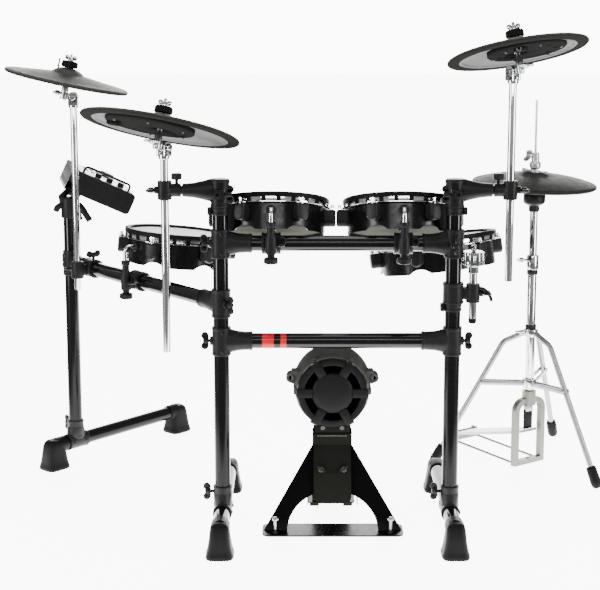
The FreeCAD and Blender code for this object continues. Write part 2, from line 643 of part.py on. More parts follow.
FLOOR_TOM_BASE = FRONT_LEFT + (REAR - FRONT_LEFT) * FLOOR_TOM_ALONG
FLOOR_TOM_ENTRY = 38.8       # heading of the floor tom's middle from its rod
FLOOR_TOM_LEAN = (5.0, 3.5)


def leaning(lean_x, lean_y):
    tip = vec(math.tan(math.radians(lean_x)), math.tan(math.radians(lean_y)))
    return yaw_of(tip), math.degrees(math.atan(tip.Length))


def pad_turn(yaw, entry):
    """Turn of a pad about its own axis that brings its rod in along a world heading."""
    return entry - 90.0 - yaw


def drum(name, top, yaw, lean, entry, head_r):
    """Shell, head and hoop of a pad whose rim is centred on top."""
    place = seat(top, yaw, lean).multiply(FreeCAD.Placement(ORIGIN, FreeCAD.Rotation(UP, pad_turn(yaw, entry))))
    nodes = {name + "_shell": [put(s, place) for s in pad_shell(head_r)],
             name + "_head": [put(s, place) for s in pad_head(head_r)],
             name + "_hoop": [put(s, place) for s in pad_hoop(head_r)]}
    return nodes, place


def rod_corner(place, head_r):
    """Where the upright and the level stretch of a pad's rod meet, and the level direction."""
    corner = place.multVec(vec(0, -(head_r + 4 + ROD_GAP), -ROD_DROP))
    return corner, place.Rotation.multVec(vec(0, 1, 0))


def tom(name, place, nodes, bar_point, bar_z, clamp_yaw):
    corner, along = rod_corner(place, TOM_HEAD_R)
    reach = ROD_GAP + 30
    nodes[name + "_rod"] = [bent_rod(at(corner, bar_z - 28), corner, along, reach, ROD_R, ROD_BEND)]
    nodes[name + "_clamp"] = [put(s, seat(at(bar_point, bar_z), clamp_yaw)) for s in rod_clamp()]
    return nodes


def top_from_rod(rod_xy, top_z, yaw, lean, entry):
    """Rim centre of a tom whose rod stands at rod_xy."""
    turn = FreeCAD.Placement(ORIGIN, FreeCAD.Rotation(UP, pad_turn(yaw, entry)))
    place = seat(ORIGIN, yaw, lean).multiply(turn)
    corner, _ = rod_corner(place, TOM_HEAD_R)
    return vec(rod_xy.x - corner.x, rod_xy.y - corner.y, top_z)


def toms():
    nodes = {}
    for name, x in (("left_tom", -TOM_X), ("right_tom", TOM_X)):
        top = top_from_rod(vec(x, -CLAMP_REACH), TOM_TOP_Z, 0, TOM_LEAN, 90)
        made, place = drum(name, top, 0, TOM_LEAN, 90, TOM_HEAD_R)
        nodes.update(tom(name, place, made, vec(x, 0), UPPER_BAR_Z, 0))
    yaw, lean = leaning(*FLOOR_TOM_LEAN)
    rod_xy = FLOOR_TOM_BASE + BAR_OUT * CLAMP_REACH
    top = top_from_rod(rod_xy, FLOOR_TOM_TOP_Z, yaw, lean, FLOOR_TOM_ENTRY)
    made, place = drum("floor_tom", top, yaw, lean, FLOOR_TOM_ENTRY, TOM_HEAD_R)
    nodes.update(tom("floor_tom", place, made, FLOOR_TOM_BASE, SIDE_BAR_Z, BAR_SEAT_YAW))
    return nodes


# Snare on its ball clamp

def snare_clamp(post_xy):
    """Clamp on the right front post that grips the snare's upright post, and its bolt."""
    offset = post_xy - FRONT_RIGHT
    span = offset.Length
    sleeve = disc(SLEEVE_R + 2, -26, 26)
    neck = block(0, span, -13, 13, -15, 15)
    grip, cuts, bolt = pole_grip(span, SNARE_POST_R)
    solid = join([sleeve, neck, grip]).cut(cuts.fuse(disc(TUBE_R + FIT, -60, 60)))
    return [put(s, seat(at(FRONT_RIGHT, SNARE_CLAMP_Z), turned(offset))) for s in (solid, bolt)]


def snare():
    yaw, lean = leaning(-math.degrees(math.atan(math.tan(math.radians(SNARE_LEAN)) / math.sqrt(2))),
                        math.degrees(math.atan(math.tan(math.radians(SNARE_LEAN)) / math.sqrt(2))))
    top = vec(SNARE_XY[0], SNARE_XY[1], SNARE_TOP_Z)
    nodes, place = drum("snare", top, yaw, lean, SNARE_ENTRY, SNARE_HEAD_R)
    ball = place.multVec(vec(0, -SNARE_ROD_LEN, -ROD_DROP))
    outer = SNARE_HEAD_R + 4
    end = place.multVec(vec(0, 28 - outer, -ROD_DROP))
    ball_rod = rod(ball, end, ROD_R).fuse(Part.makeSphere(SNARE_BALL_R, ball)).removeSplitter()
    cup_r = SNARE_BALL_R + 7
    post = pipe(at(ball, SNARE_POST_FOOT), at(ball, ball.z - cup_r + 1), SNARE_POST_R, POLE_WALL)
    cup = disc(cup_r, ball.z - cup_r, ball.z + cup_r - 4, ball.x, ball.y)
    cup = cup.cut(Part.makeSphere(SNARE_BALL_R + SEAT, ball))
    mouth = Part.makeCone(SNARE_BALL_R - 2, 19, cup_r + 6, ball, (end - ball))
    cup = cup.cut(mouth).cut(disc(SNARE_POST_R + FIT, 0, ball.z - cup_r + 1.2, ball.x, ball.y))
    knob = wing_bolt(3)
    knob.rotate(ORIGIN, vec(0, 1, 0), -90)
    knob.translate(vec(ball.x, ball.y, ball.z + cup_r - 3.9))
    nodes["snare_rod"] = [ball_rod]
    nodes["snare_post"] = [post, cup, knob]
    nodes["snare_clamp"] = snare_clamp(vec(ball.x, ball.y))
    return nodes


# Kick pad on its sheet-steel stand

def kick_housing():
    """Round housing about Z, its front face at z = 0, with a spoked ring and a dome cap."""
    ring_r, ring_in, cap_r, deep = 88.0, 71.0, 52.0, 13.0
    body = spin([(0, -5), (20, -4.6), (38, -3), (cap_r - 3, 0), (cap_r, 3), (cap_r, deep), (ring_in, deep),
                 (ring_in, 2), (ring_in + 2, 0), (ring_r - 2, 0), (ring_r, 3), (ring_r + 2, 10), (KICK_R - 2, 18),
                 (KICK_R, 24), (KICK_R + KICK_FLARE, KICK_DEPTH), (0, KICK_DEPTH)])
    spokes = []
    for k in range(6):
        spoke = block(cap_r - 2, ring_r + 2, -11, 11, -2, deep + 1)
        spoke.rotate(ORIGIN, UP, 60 * k)
        spokes.append(spoke)
    ears = []
    for side in (-1, 1):
        ear = block(0, 34, -17, 17, 30, 62)
        ear = ear.makeFillet(6, upright_edges(ear))
        ear = ear.cut(block(22, 40, -9, 9, 36, 56))
        ear.translate(vec(KICK_R - 14, 0, 0))
        if side < 0:
            ear.rotate(ORIGIN, UP, 180)
        ear.translate(vec(0, -34, 0))
        ears.append(ear)
    neck = block(-44, 44, KICK_R - 16, KICK_R + 13, 20, 62)
    return join([body, neck] + spokes + ears)


def kick_head():
    """Rubber edge ring and cloth-faced striking pad on the player's side."""
    back = KICK_DEPTH + FIT
    ring = spin([(72, back), (KICK_R - 2, back), (KICK_R - 2, back + 12), (KICK_R - 6, back + 16), (76, back + 16),
                 (72, back + 12)])
    face = spin([(0, back), (72 - SEAT, back), (72 - SEAT, back + 11), (40, back + 14), (0, back + 15)])
    return [ring, face]


def slope(shape, top, bottom):
    """Leans a shape that hangs down from the origin, so that it runs between two (y, z) edges."""
    shape.rotate(ORIGIN, vec(1, 0, 0), math.degrees(math.atan2(bottom[0] - top[0], top[1] - bottom[1])))
    shape.translate(vec(0, top[0], top[1]))
    return shape


def arched_legs(run):
    """Sheet that widens downwards over run, with an arch cut up into it, and the plate on its front."""
    foot_w = STAND_W - 1
    sheet = prism([(NECK_TOP_W, 0), (foot_w, -run), (-foot_w, -run), (-NECK_TOP_W, 0)], SHEET)
    curve = Part.Ellipse(vec(ARCH_HALF, -20, -run), vec(0, -20, -run + ARCH_RISE * run), vec(0, -20, -run))
    arch = Part.Face(Part.Wire(curve.toShape())).extrude(vec(0, 40, 0))
    tongue = block(4 - NECK_TOP_W, NECK_TOP_W - 4, -SHEET, 0.5, -TONGUE_SHARE * run, 0)
    corners = [e for e in tongue.Edges if e.BoundBox.YLength > 1 and e.CenterOfMass.z < -1]
    return sheet.cut(arch).fuse(tongue.makeFillet(12, corners))


def kick_stand():
    neck_z = KICK_Z - KICK_R - 13
    mid_y = KICK_FRONT_Y + 41
    shoulder_z = 198.0
    flange = block(-NECK_TOP_W, NECK_TOP_W, mid_y - 20, mid_y + 20, neck_z - SHEET, neck_z)
    upright = block(-NECK_TOP_W, NECK_TOP_W, mid_y - SHEET / 2, mid_y + SHEET / 2, shoulder_z - 8, neck_z - 1)
    top, bottom = (mid_y - SHEET / 2, shoulder_z), (LEGS_Y, 0)
    legs = slope(arched_legs(math.hypot(bottom[0] - top[0], top[1])), top, bottom)
    legs = legs.common(block(-300, 300, -300, 300, 0, 400))
    strip = block(-STAND_W, STAND_W, STAND_FRONT_Y, STAND_BACK_Y, 0, SHEET)
    strip = strip.makeFillet(18, upright_edges(strip))
    heel = (PEDAL_PLATE_Y, 14)
    back_run = math.hypot(heel[0] - top[0], top[1] - heel[1])
    back = slope(block(-NECK_TOP_W, NECK_TOP_W, 0, SHEET, -back_run, 0), top, heel)
    pedal = block(-62, 62, PEDAL_PLATE_Y - 4, PEDAL_PLATE_Y + 96, 10, 10 + SHEET)
    pedal = pedal.makeFillet(14, upright_edges(pedal))
    mats = [block(x - 12, x + 12, PEDAL_PLATE_Y + 6, PEDAL_PLATE_Y + 84, 0, 11) for x in (-44, 44)]
    nuts = [disc(9, SHEET - 1, 11, s * ANCHOR_X, ANCHOR_Y) for s in (-1, 1)]
    whole = join([flange, upright, legs, strip, back, pedal] + mats + nuts)
    holes = [disc(BOLT_R + FIT, -1, 20, s * ANCHOR_X, ANCHOR_Y) for s in (-1, 1)]
    return whole.cut(holes[0].fuse(holes[1]))


def kick():
    place = seat(vec(KICK_X, KICK_FRONT_Y, KICK_Z), 0, 90)
    shaft, head = ANCHOR_H - 8, BOLT_R + 4
    spike = spin([(0, 0), (BOLT_R, 0), (BOLT_R, shaft), (head, shaft), (head, shaft + 4),
                  (head - 3, ANCHOR_H), (0, ANCHOR_H)])
    screws = [spike.translated(vec(KICK_X + side * ANCHOR_X, ANCHOR_Y, 0)) for side in (-1, 1)]
    return {"kick_stand": [kick_stand().translated(vec(KICK_X, 0, 0))],
            "kick_housing": [put(kick_housing(), place)],
            "kick_head": [put(s, place) for s in kick_head()], "kick_anchor_screws": screws}


# Sound module, about its tilt hinge: x towards the player, z square to the panel

def module_place():
    turn = FreeCAD.Rotation(UP, MODULE_YAW).multiply(FreeCAD.Rotation(vec(0, 1, 0), MODULE_SLOPE))
    return FreeCAD.Placement(vec(*MODULE_HINGE), turn)


MODULE_BACK = -47.0      # rear end of the module from the hinge
MODULE_NEAR = -88.0      # near side of the module from the hinge
MODULE_LOW = 12.0        # underside above the hinge


def module_shells():
    x0, x1 = MODULE_BACK, MODULE_BACK + MODULE_D
    y0, y1 = MODULE_NEAR, MODULE_NEAR + MODULE_W
    z0, z1 = MODULE_LOW, MODULE_LOW + MODULE_H
    tail = 22.0
    whole = block(x0, x1, y0, y1, z0, z1)
    whole = whole.makeFillet(13, upright_edges(whole))
    rims = [e for e in whole.Edges if e.BoundBox.ZLength < 0.01]
    whole = whole.makeFillet(4, rims)
    split = block(x0 - 1, x0 + tail, y0 + 6, y1 - 6, z0 + 8, z1 + 1)
    split = split.fuse(block(x0 - 1, x1 + 1, y0 - 1, y1 + 1, z1 - MODULE_TOP_T, z1 + 1))
    panel = whole.common(split)
    case = whole.cut(split)
    ears = [block(-11, 11, s * 17 - 5, s * 17 + 5, -11, z0 + 1) for s in (-1, 1)]
    case = join([case] + ears).cut(rod(vec(0, -40, 0), vec(0, 40, 0), PIN_R + RUN))
    knobs = [spin([(0, z1), (9.5, z1), (9.5, z1 + 11), (8, z1 + 13), (0, z1 + 13)]).translated(
        vec(x0 + 78 + 34 * k, y0 + 34, 0)) for k in range(3)]
    jacks = [rod(vec(x0 - 1, y, z0 + 30), vec(x0 + 12, y, z0 + 30), 4.5) for y in
             (y0 + 40 + 30 * k for k in range(7))]
    panel = panel.cut(jacks[0].multiFuse(jacks[1:]))
    rail_y, rail_z = y0 + 12, z1 + 19
    rail = join([rod(vec(x0 + 30, rail_y, rail_z), vec(x1 - 22, rail_y, rail_z), 3.5)]
                + [rod(vec(x, rail_y, z1 + FIT), vec(x, rail_y, rail_z), 3.5) for x in (x0 + 33, x1 - 25)])
    return case, panel, knobs, rail


def module():
    place = module_place()
    case, panel, knobs, rail = module_shells()
    z1 = MODULE_LOW + MODULE_H
    dial = spin([(0, z1 + SEAT), (DIAL_R, z1 + SEAT), (DIAL_R, z1 + 10), (DIAL_R - 2, z1 + 13), (14, z1 + 12),
                 (0, z1 + 11)])
    dial.translate(vec(MODULE_BACK + 118, MODULE_NEAR + 200, 0))
    hinge = vec(*MODULE_HINGE)
    sleeve = disc(SLEEVE_R + 1, REAR_POST_TOP - 52, REAR_POST_TOP + 6, REAR.x, REAR.y)
    flat = vec(hinge.x - REAR.x, hinge.y - REAR.y)
    arm = put(block(0, flat.Length - 4, -9, 9, -13, 3), seat(at(REAR, hinge.z - 22), turned(flat)))
    tongue = put(block(-9, 9, -11.5, 11.5, -32, 0), seat(hinge, MODULE_YAW))
    side = heading(MODULE_YAW + 90)
    knuckle = rod(hinge - side * 11.5, hinge + side * 11.5, 9.0)
    pin = rod(hinge - side * 25, hinge + side * 25, PIN_R)
    bore = disc(TUBE_R + FIT, 0, REAR_POST_TOP + 0.2, REAR.x, REAR.y)
    holder = join([sleeve, arm, tongue, knuckle, pin]).cut(bore)
    return {"module_case": [put(case, place), put(rail, place)],
            "module_panel": [put(panel, place)] + [put(k, place) for k in knobs],
            "module_dial": [put(dial, place)], "module_holder": [holder]}


# Hi-hat stand and pad

HAT = vec(*HAT_XY)
PEDAL_DIR = heading(HAT_HEADING)


def hat_post():
    lower = pipe(at(HAT, 176), at(HAT, HAT_SPLIT_Z - 30), HAT_LOWER_R, 1.5)
    upper = pipe(at(HAT, HAT_SPLIT_Z - 120), at(HAT, HAT_SEAT_Z), HAT_UPPER_R, 1.5)
    clamp = disc(17, HAT_SPLIT_Z - 44, HAT_SPLIT_Z, HAT.x, HAT.y)
    clamp = clamp.cut(disc(HAT_UPPER_R + FIT, 0, 900, HAT.x, HAT.y))
    clamp = clamp.cut(disc(HAT_LOWER_R + FIT, 0, HAT_SPLIT_Z - 29.8, HAT.x, HAT.y))
    bolt = put(wing_bolt(10), seat(at(HAT, HAT_SPLIT_Z - 16), 180).multiply(
        FreeCAD.Placement(vec(16.8, 0, 0), FreeCAD.Rotation())))
    return [lower, upper, clamp, bolt]


def hat_leg(angle):
    """Sprung leg from the sliding collar to the floor, its rubber foot and its brace."""
    out = heading(angle)
    top = HAT + out * 20
    corner = at(HAT + out * HAT_BEND_OUT, HAT_COLLAR_Z - 26)
    tip = at(HAT + out * (HAT_LEG_R - 12), 26)
    along = (tip - corner).normalize()
    leg = bent_rod(at(top, HAT_COLLAR_Z - 2), corner, along, (tip - corner).Length, 8.0, 30)
    boot = spin([(8.0 + FIT, -36), (14, -36), (14, 12), (12, 20), (7.5, 24.5), (0, 26), (0, 0.2),
                 (8.0 + FIT, 0.2)])
    boot = put(boot, FreeCAD.Placement(tip, FreeCAD.Rotation(UP, along)))
    knee = corner + along * ((tip - corner).Length * HAT_KNEE)
    root = at(HAT + out * 20, HAT_BRACE_Z)
    reach = (knee - root)
    side = vec(-out.y, out.x) * 11.5
    brace = rod(root + side, root + side + reach, 5.0)
    return [leg, boot, brace]


def hat_tripod():
    solids = []
    for z, h in ((HAT_COLLAR_Z, 24), (HAT_BRACE_Z, 26)):
        ring = disc(21, z - h / 2, z + h / 2, HAT.x, HAT.y).cut(disc(HAT_LOWER_R + FIT, 0, 900, HAT.x, HAT.y))
        solids.append(ring)
    for k in range(3):
        angle = HAT_HEADING + 60 + 120 * k
        leg, boot, brace = hat_leg(angle)
        solids += [leg.cut(solids[0]), boot, brace.cut(solids[1])]
    return solids


def rounded_top(solid, radius):
    """Rounds the two upper edges along Y of an upright block."""
    top = solid.BoundBox.ZMax
    upper = [e for e in solid.Edges if e.BoundBox.YLength > 1 and e.CenterOfMass.z > top - 1]
    return solid.makeFillet(radius, upper)


def hat_frame():
    """Cast loop that the post stands in, with the radius rods and the heel plate."""
    inside = LOOP_HALF - LOOP_BAR
    outline = block(-LOOP_HALF, LOOP_HALF, -9, 9, 0, LOOP_TOP)
    opening = block(-inside, inside, -10, 10, 14, LOOP_TOP - LOOP_BAR)
    loop = rounded_top(outline, 36).cut(rounded_top(opening, 24))
    loop = loop.cut(disc(HAT_LOWER_R + FIT, 175.9, 300))
    loop = loop.cut(disc(HAT_ROD_R + 3, 0, 300))
    hub = disc(20, 176, 216).cut(disc(HAT_LOWER_R + FIT, 170, 300))
    heel = block(-44, 44, PEDAL_HEEL - 10, PEDAL_HEEL + 46, 0, 9)
    heel = heel.makeFillet(10, upright_edges(heel))
    posts = [block(s * 47 - 4, s * 47 + 4, PEDAL_HEEL - 10, PEDAL_HEEL + 10, 0, 30) for s in (-1, 1)]
    rods = [rod(vec(s * 46, 4, 5), vec(s * 46, PEDAL_HEEL - 6, 5), 3.5) for s in (-1, 1)]
    pin = rod(vec(-50, PEDAL_HEEL, PEDAL_HINGE_Z), vec(50, PEDAL_HEEL, PEDAL_HINGE_Z), PIN_R)
    whole = join([loop, hub, heel, pin] + posts + rods)
    return put(whole, seat(HAT, yaw_of(PEDAL_DIR)))


def hat_footboard():
    """Footboard from its heel hinge to the strap, in the pedal's own frame."""
    rise = PEDAL_TOE_Z - PEDAL_HINGE_Z
    run = PEDAL_HEEL - PEDAL_TOE
    length = math.hypot(rise, run)
    half = PEDAL_W / 2
    board = prism([(-half, 0), (half, 0), (half - 2, length * 0.6), (30, length - 6), (18, length), (-18, length),
                   (-30, length - 6), (2 - half, length * 0.6)], 7)
    ribs = [block(x - 3, x + 3, -3, 0.5, 20, length - 30) for x in (-24, 0, 24)]
    hub = rod(vec(-half, 3.5, 0), vec(half, 3.5, 0), 8.0)
    board = join([board, hub] + ribs).cut(rod(vec(-60, 3.5, 0), vec(60, 3.5, 0), PIN_R + RUN))
    board.translate(vec(0, -3.5, 0))
    board.rotate(ORIGIN, vec(1, 0, 0), 90 - math.degrees(math.atan2(rise, run)))
    board.translate(vec(0, PEDAL_HEEL, PEDAL_HINGE_Z))
    return put(board, seat(HAT, yaw_of(PEDAL_DIR)))


def hat_pad():
    """Domed rubber hi-hat pad about Z, the top of its bell at z = 0."""
    rim = -HAT_BELL - HAT_BOW
    profile = [(8, 0), (22, -1), (40, 3 - HAT_BELL), (50, -HAT_BELL), (HAT_R * 0.62, rim + HAT_BOW * 0.62),
               (HAT_R - 5, rim + 2), (HAT_R, rim - 3), (HAT_R, rim - 7), (HAT_R - 5, rim - 10), (HAT_R - 16, rim - 8),
               (HAT_R * 0.6, rim + HAT_BOW * 0.6 - 8), (50, -HAT_BELL - 8), (22, -10), (8, -10)]
    return spin(profile)


def hat_pull_rod():
    """Pull rod with the clutch that carries the pad, and the strap at its foot."""
    top = HAT_Z + HAT_BELL + HAT_BOW
    stem = disc(HAT_ROD_R, 158, HAT_ROD_TOP, HAT.x, HAT.y)
    grip = HAT_ROD_R + 0.02
    clutch = spin([(grip, top + 1.2), (12, top + 1.2), (12, top + 9), (8, top + 11), (8, top + 36), (11, top + 38),
                   (11, top + 58), (grip, top + 58)])
    lower = spin([(grip, top + 1.3), (6.5, top + 1.3), (6.5, top - 11.5), (13, top - 11.5), (13, top - 20),
                  (grip, top - 20)])
    clutch = join([clutch, lower]).translated(HAT)
    bolt = put(wing_bolt(3), seat(at(HAT, top + 48), 180).multiply(
        FreeCAD.Placement(vec(10.9, 0, 0), FreeCAD.Rotation())))
    strap = block(-10, 10, 0, 4, PEDAL_TOE_Z + 2.1, 162)
    strap = strap.fuse(disc(7, 150, 164)).cut(disc(HAT_ROD_R, 157.9, 300))
    return [stem, clutch, bolt, put(strap, seat(HAT, yaw_of(PEDAL_DIR)))]


def hat_seat():
    """Sensor cup on top of the stand, under the pad."""
    base = HAT_SEAT_Z - 14
    cup = spin([(0, base), (15, base), (15, base + 16), (27, base + 22), (31, base + 30), (31, base + 46),
                (27, base + 50), (0, base + 50)])
    cup = cup.cut(disc(HAT_UPPER_R + FIT, 0, HAT_SEAT_Z + 0.2)).cut(disc(HAT_ROD_R + 2, 0, 900))
    cup.translate(vec(HAT.x, HAT.y, 0))
    return cup


def hihat():
    yaw, lean = leaning(*HAT_LEAN)
    pad_place = seat(at(HAT, HAT_Z + HAT_BELL + HAT_BOW), yaw, lean)
    return {"hihat_frame": [hat_frame()], "hihat_tubes": hat_post(), "hihat_legs": hat_tripod(),
            "hihat_seat": [hat_seat()], "hihat_rod": hat_pull_rod(), "hihat_pad": [put(hat_pad(), pad_place)],
            "hihat_footboard": [hat_footboard()]}


def main():
    os.makedirs("parts", exist_ok=True)
    nodes = {**rack_tubes(), **rack_base(), **memory_locks(), **cymbal_supports(), **cymbals(), **toms()}
    for group in (snare(), kick(), module(), hihat()):
        nodes.update(group)
    for name, solids in nodes.items():
        Part.makeCompound(solids).exportStep(os.path.join("parts", name + ".step"))


main()
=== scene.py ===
import math

import bmesh
import bpy
from mathutils import Matrix, Vector


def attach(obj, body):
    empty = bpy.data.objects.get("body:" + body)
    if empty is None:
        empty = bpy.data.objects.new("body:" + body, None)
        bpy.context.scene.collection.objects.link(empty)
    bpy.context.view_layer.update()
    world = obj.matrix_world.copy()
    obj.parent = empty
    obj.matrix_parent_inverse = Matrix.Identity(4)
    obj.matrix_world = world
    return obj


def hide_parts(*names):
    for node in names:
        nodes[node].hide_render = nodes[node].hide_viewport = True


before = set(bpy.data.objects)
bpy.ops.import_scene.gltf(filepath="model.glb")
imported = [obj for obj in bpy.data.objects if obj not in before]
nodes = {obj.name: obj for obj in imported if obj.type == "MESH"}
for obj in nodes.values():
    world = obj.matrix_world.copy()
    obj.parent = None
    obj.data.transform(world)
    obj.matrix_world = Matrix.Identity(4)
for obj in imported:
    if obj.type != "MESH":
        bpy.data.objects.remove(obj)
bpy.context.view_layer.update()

# Pieces are drawn in millimetres in the part's frame and scaled to metres when they are finished.
MM = 0.001
FIT = 0.2                # clearance of a tube or rod in its clamp

# Rack
TUBE_R = 19.05
POST_X = 281.5           # front posts stand at plus and minus this
POST_TOP = 885.0
UPPER_BAR_Z = 734.0
LOWER_BAR_Z = 493.0
SIDE_BAR_Z = 587.0
REAR_POST = Vector((-739.0, 560.0, 0.0))
REAR_POST_TOP = 768.0
FRONT_LEFT = Vector((-POST_X, 0.0, 0.0))
FRONT_RIGHT = Vector((POST_X, 0.0, 0.0))
SIDE_DIR = (REAR_POST - FRONT_LEFT).normalized()
BAR_OUT = Vector((-SIDE_DIR.y, SIDE_DIR.x, 0.0))    # level, square to the side bar
BAR_GAP = 4.0            # a bar ends this far from its post
SLEEVE_R = 23.5
SLEEVE_H = 70.0
LOCK_R = 21.5
LEG_Z = 64.0
LEG_CLAMP_H = 62.0

# Cymbals
ARM_Z = 863.0
ARM_LEN = 133.0
ARM_FOOT = -41.0         # lower end of an arm's sleeve
BOOM_R = 11.0
POLE_R = 9.5
CRASH_REACH = 46.0       # left crash pole from the side bar
CRASH_ALONG = 115.0      # left crash clamp from the rear post
BELL_Z = 74.0            # top of the bell above the tilt pivot
BELL_H = 15.0
BOW_H = 15.0
RIM_W = 27.0
STEM_OFF = 25.0
HOUSE_SHARE = 0.56       # radius of the sensor housing in the pad's radius
HOUSE_SHIFT = 0.19       # its middle from the stem, likewise

# Drum pads
CLAMP_REACH = 40.0       # rod from its bar
CLAMP_RING_R = 26.0
TOM_HEAD_R = 127.0
SNARE_HEAD_R = 152.0
PAD_H = 90.0
PAD_WALL = 4.0
ROD_DROP = 45.0          # rod below the top of the rim
ROD_GAP = 32.0           # rod's upright stretch from the shell
ROD_R = 6.0
LUG_COUNT = 6
LUG_HALF = 14.5
ARCH_R = 41.0            # arches in the lower edge of a shell
ARCH_H = 12.0
RIM_TABS = 24
TOM_X = 159.0
TOM_TOP_Z = 823.0
TOM_LEAN = 16.0
FLOOR_TOM_SHARE = 0.51   # share of the side bar from the front post
FLOOR_TOM_TOP_Z = 710.0
FLOOR_TOM_LEAN = (5.0, 3.5)
FLOOR_TOM_ENTRY = 38.8   # heading of the drum's middle from its rod
SNARE_TOP = Vector((275.0, 412.0, 687.0))
SNARE_LEAN = 9.9
SNARE_ENTRY = 97.3
SNARE_ROD_LEN = 414.0
SNARE_BALL_R = 11.0
SNARE_CLAMP_Z = 612.0
SNARE_CLAMP_HALF = 26.0
SNARE_POST_FOOT = 537.0
LOCK_DROP = 9.3          # middle of a stop collar below the clamp it stops

# Kick pad
KICK_X = -8.0
KICK_Z = 342.0
KICK_FRONT_Y = 62.0
KICK_BACK = 78.0         # rear of the housing, from its front
HOOD_START = 14.0
HOOD_RISE = 8.0
HOOD_DRAW_IN = 0.04
ANCHOR_X = 143.0
ANCHOR_Y = -10.0
TONGUE_TOP = Vector((KICK_X, 100.0, 198.0))
TONGUE = 146.0           # length of the front sheet down the slope
TONGUE_HALF = 47.5
TONGUE_RUN = 93.0        # the slope comes forward this far on its way to the floor

# Sound module
MODULE_HINGE = Vector((-731.0, 616.0, 772.0))
MODULE_YAW = 13.0
MODULE_SLOPE = 25.0
MODULE_X = (-47.0, 147.0)
MODULE_Y = (-88.0, 171.0)
MODULE_Z = (12.0, 74.0)
PANEL_D = 22.0           # depth of the panel along the rear edge

# Hi-hat
HAT = Vector((568.0, 546.0, 0.0))
HAT_R = 173.0
HAT_BELL_Z = 850.0
HAT_LEAN = (2.0, -1.8)
HAT_SEAT_Z = 749.0
HAT_ROD_TOP = 1047.0
HAT_ROD_R = 3.5
HAT_LOWER_R = 12.7
HAT_UPPER_R = 11.0
HAT_SPLIT_Z = 612.0
HAT_COLLAR_Z = 387.0
HAT_BRACE_Z = 239.0
HAT_LEG_HEADING = 184.0
HAT_LEG_BEND = (78.0, 362.0)     # where a leg turns down: from the post, and above the floor
HAT_LEG_TIP = (265.0, 26.0)
HAT_KNEE = 0.35          # share of the leg above its brace
PEDAL_HEADING = 124.0
STRAP_LOW_Z = 102.2


# Shader groups

def new_group(name, inputs):
    """Shader group with float inputs (name, value) and one float output; returns the tree and its ends."""
    tree = bpy.data.node_groups.new(name, "ShaderNodeTree")
    for label, value in inputs:
        socket = tree.interface.new_socket(label, in_out="INPUT", socket_type="NodeSocketFloat")
        socket.default_value = value
    tree.interface.new_socket("Value", in_out="OUTPUT", socket_type="NodeSocketFloat")
    return tree, tree.nodes.new("NodeGroupInput"), tree.nodes.new("NodeGroupOutput")


def mottle_group():
    """Soft uneven value between Low and High, from noise in object space."""
    tree, start, end = new_group("mottle", [("Scale", 60.0), ("Low", 0.3), ("High", 0.5)])
    coords = tree.nodes.new("ShaderNodeTexCoord")
    noise = tree.nodes.new("ShaderNodeTexNoise")
    noise.inputs["Detail"].default_value = 4.0
    spread = tree.nodes.new("ShaderNodeMapRange")
    spread.inputs["From Min"].default_value = 0.3
    spread.inputs["From Max"].default_value = 0.7
    tree.links.new(coords.outputs["Object"], noise.inputs["Vector"])
    tree.links.new(start.outputs["Scale"], noise.inputs["Scale"])
    tree.links.new(noise.outputs["Fac"], spread.inputs["Value"])
    tree.links.new(start.outputs["Low"], spread.inputs["To Min"])
    tree.links.new(start.outputs["High"], spread.inputs["To Max"])
    tree.links.new(spread.outputs["Result"], end.inputs["Value"])
    return tree


def weave_group():
    """Height of a square woven mesh in object space."""
    tree, start, end = new_group("weave", [("Scale", 300.0)])
    coords = tree.nodes.new("ShaderNodeTexCoord")
    waves = []
    for axis in ("X", "Y"):
        wave = tree.nodes.new("ShaderNodeTexWave")
        wave.wave_type = "BANDS"
        wave.bands_direction = axis
        tree.links.new(coords.outputs["Object"], wave.inputs["Vector"])
        tree.links.new(start.outputs["Scale"], wave.inputs["Scale"])
        waves.append(wave.outputs["Fac"])
    tree.links.new(math_node(tree, "MAXIMUM", *waves), end.inputs["Value"])
    return tree


# Shader nodes

def math_node(tree, operation, *values):
    """Result of an operation on sockets and numbers."""
    node = tree.nodes.new("ShaderNodeMath")
    node.operation = operation
    for socket, value in zip(node.inputs, values):
        if isinstance(value, float):
            socket.default_value = value
        else:
            tree.links.new(value, socket)
    return node.outputs["Value"]


def map_range(tree, value, span, result=(0.0, 1.0), smooth=False):
    """Maps a socket from one span of values onto another."""
    node = tree.nodes.new("ShaderNodeMapRange")
    if smooth:
        node.interpolation_type = "SMOOTHSTEP"
    for label, number in zip(("From Min", "From Max", "To Min", "To Max"), (*span, *result)):
        node.inputs[label].default_value = number
    tree.links.new(value, node.inputs["Value"])
    return node.outputs["Result"]


def mix_colors(tree, share, first, second):
    """Colour that goes from the first to the second with a share."""
    node = tree.nodes.new("ShaderNodeMix")
    node.data_type = "RGBA"
    node.inputs["A"].default_value = (*first, 1.0)
    node.inputs["B"].default_value = (*second, 1.0)
    tree.links.new(share, node.inputs["Factor"])
    return node.outputs["Result"]


def axes(tree, kind):
    """X, Y and Z sockets of a kind of texture coordinate."""
    coords = tree.nodes.new("ShaderNodeTexCoord")
    split = tree.nodes.new("ShaderNodeSeparateXYZ")
    tree.links.new(coords.outputs[kind], split.inputs["Vector"])
    return split.outputs


def group_value(tree, group, **values):
    """Output of a shader group with some of its inputs set."""
    node = tree.nodes.new("ShaderNodeGroup")
    node.node_tree = group
    for label, value in values.items():
        node.inputs[label].default_value = value
    return node.outputs["Value"]


def add_bump(tree, height, strength, distance):
    bump = tree.nodes.new("ShaderNodeBump")
    bump.inputs["Strength"].default_value = strength
    bump.inputs["Distance"].default_value = distance
    tree.links.new(height, bump.inputs["Height"])
    tree.links.new(bump.outputs["Normal"], tree.nodes["Principled BSDF"].inputs["Normal"])


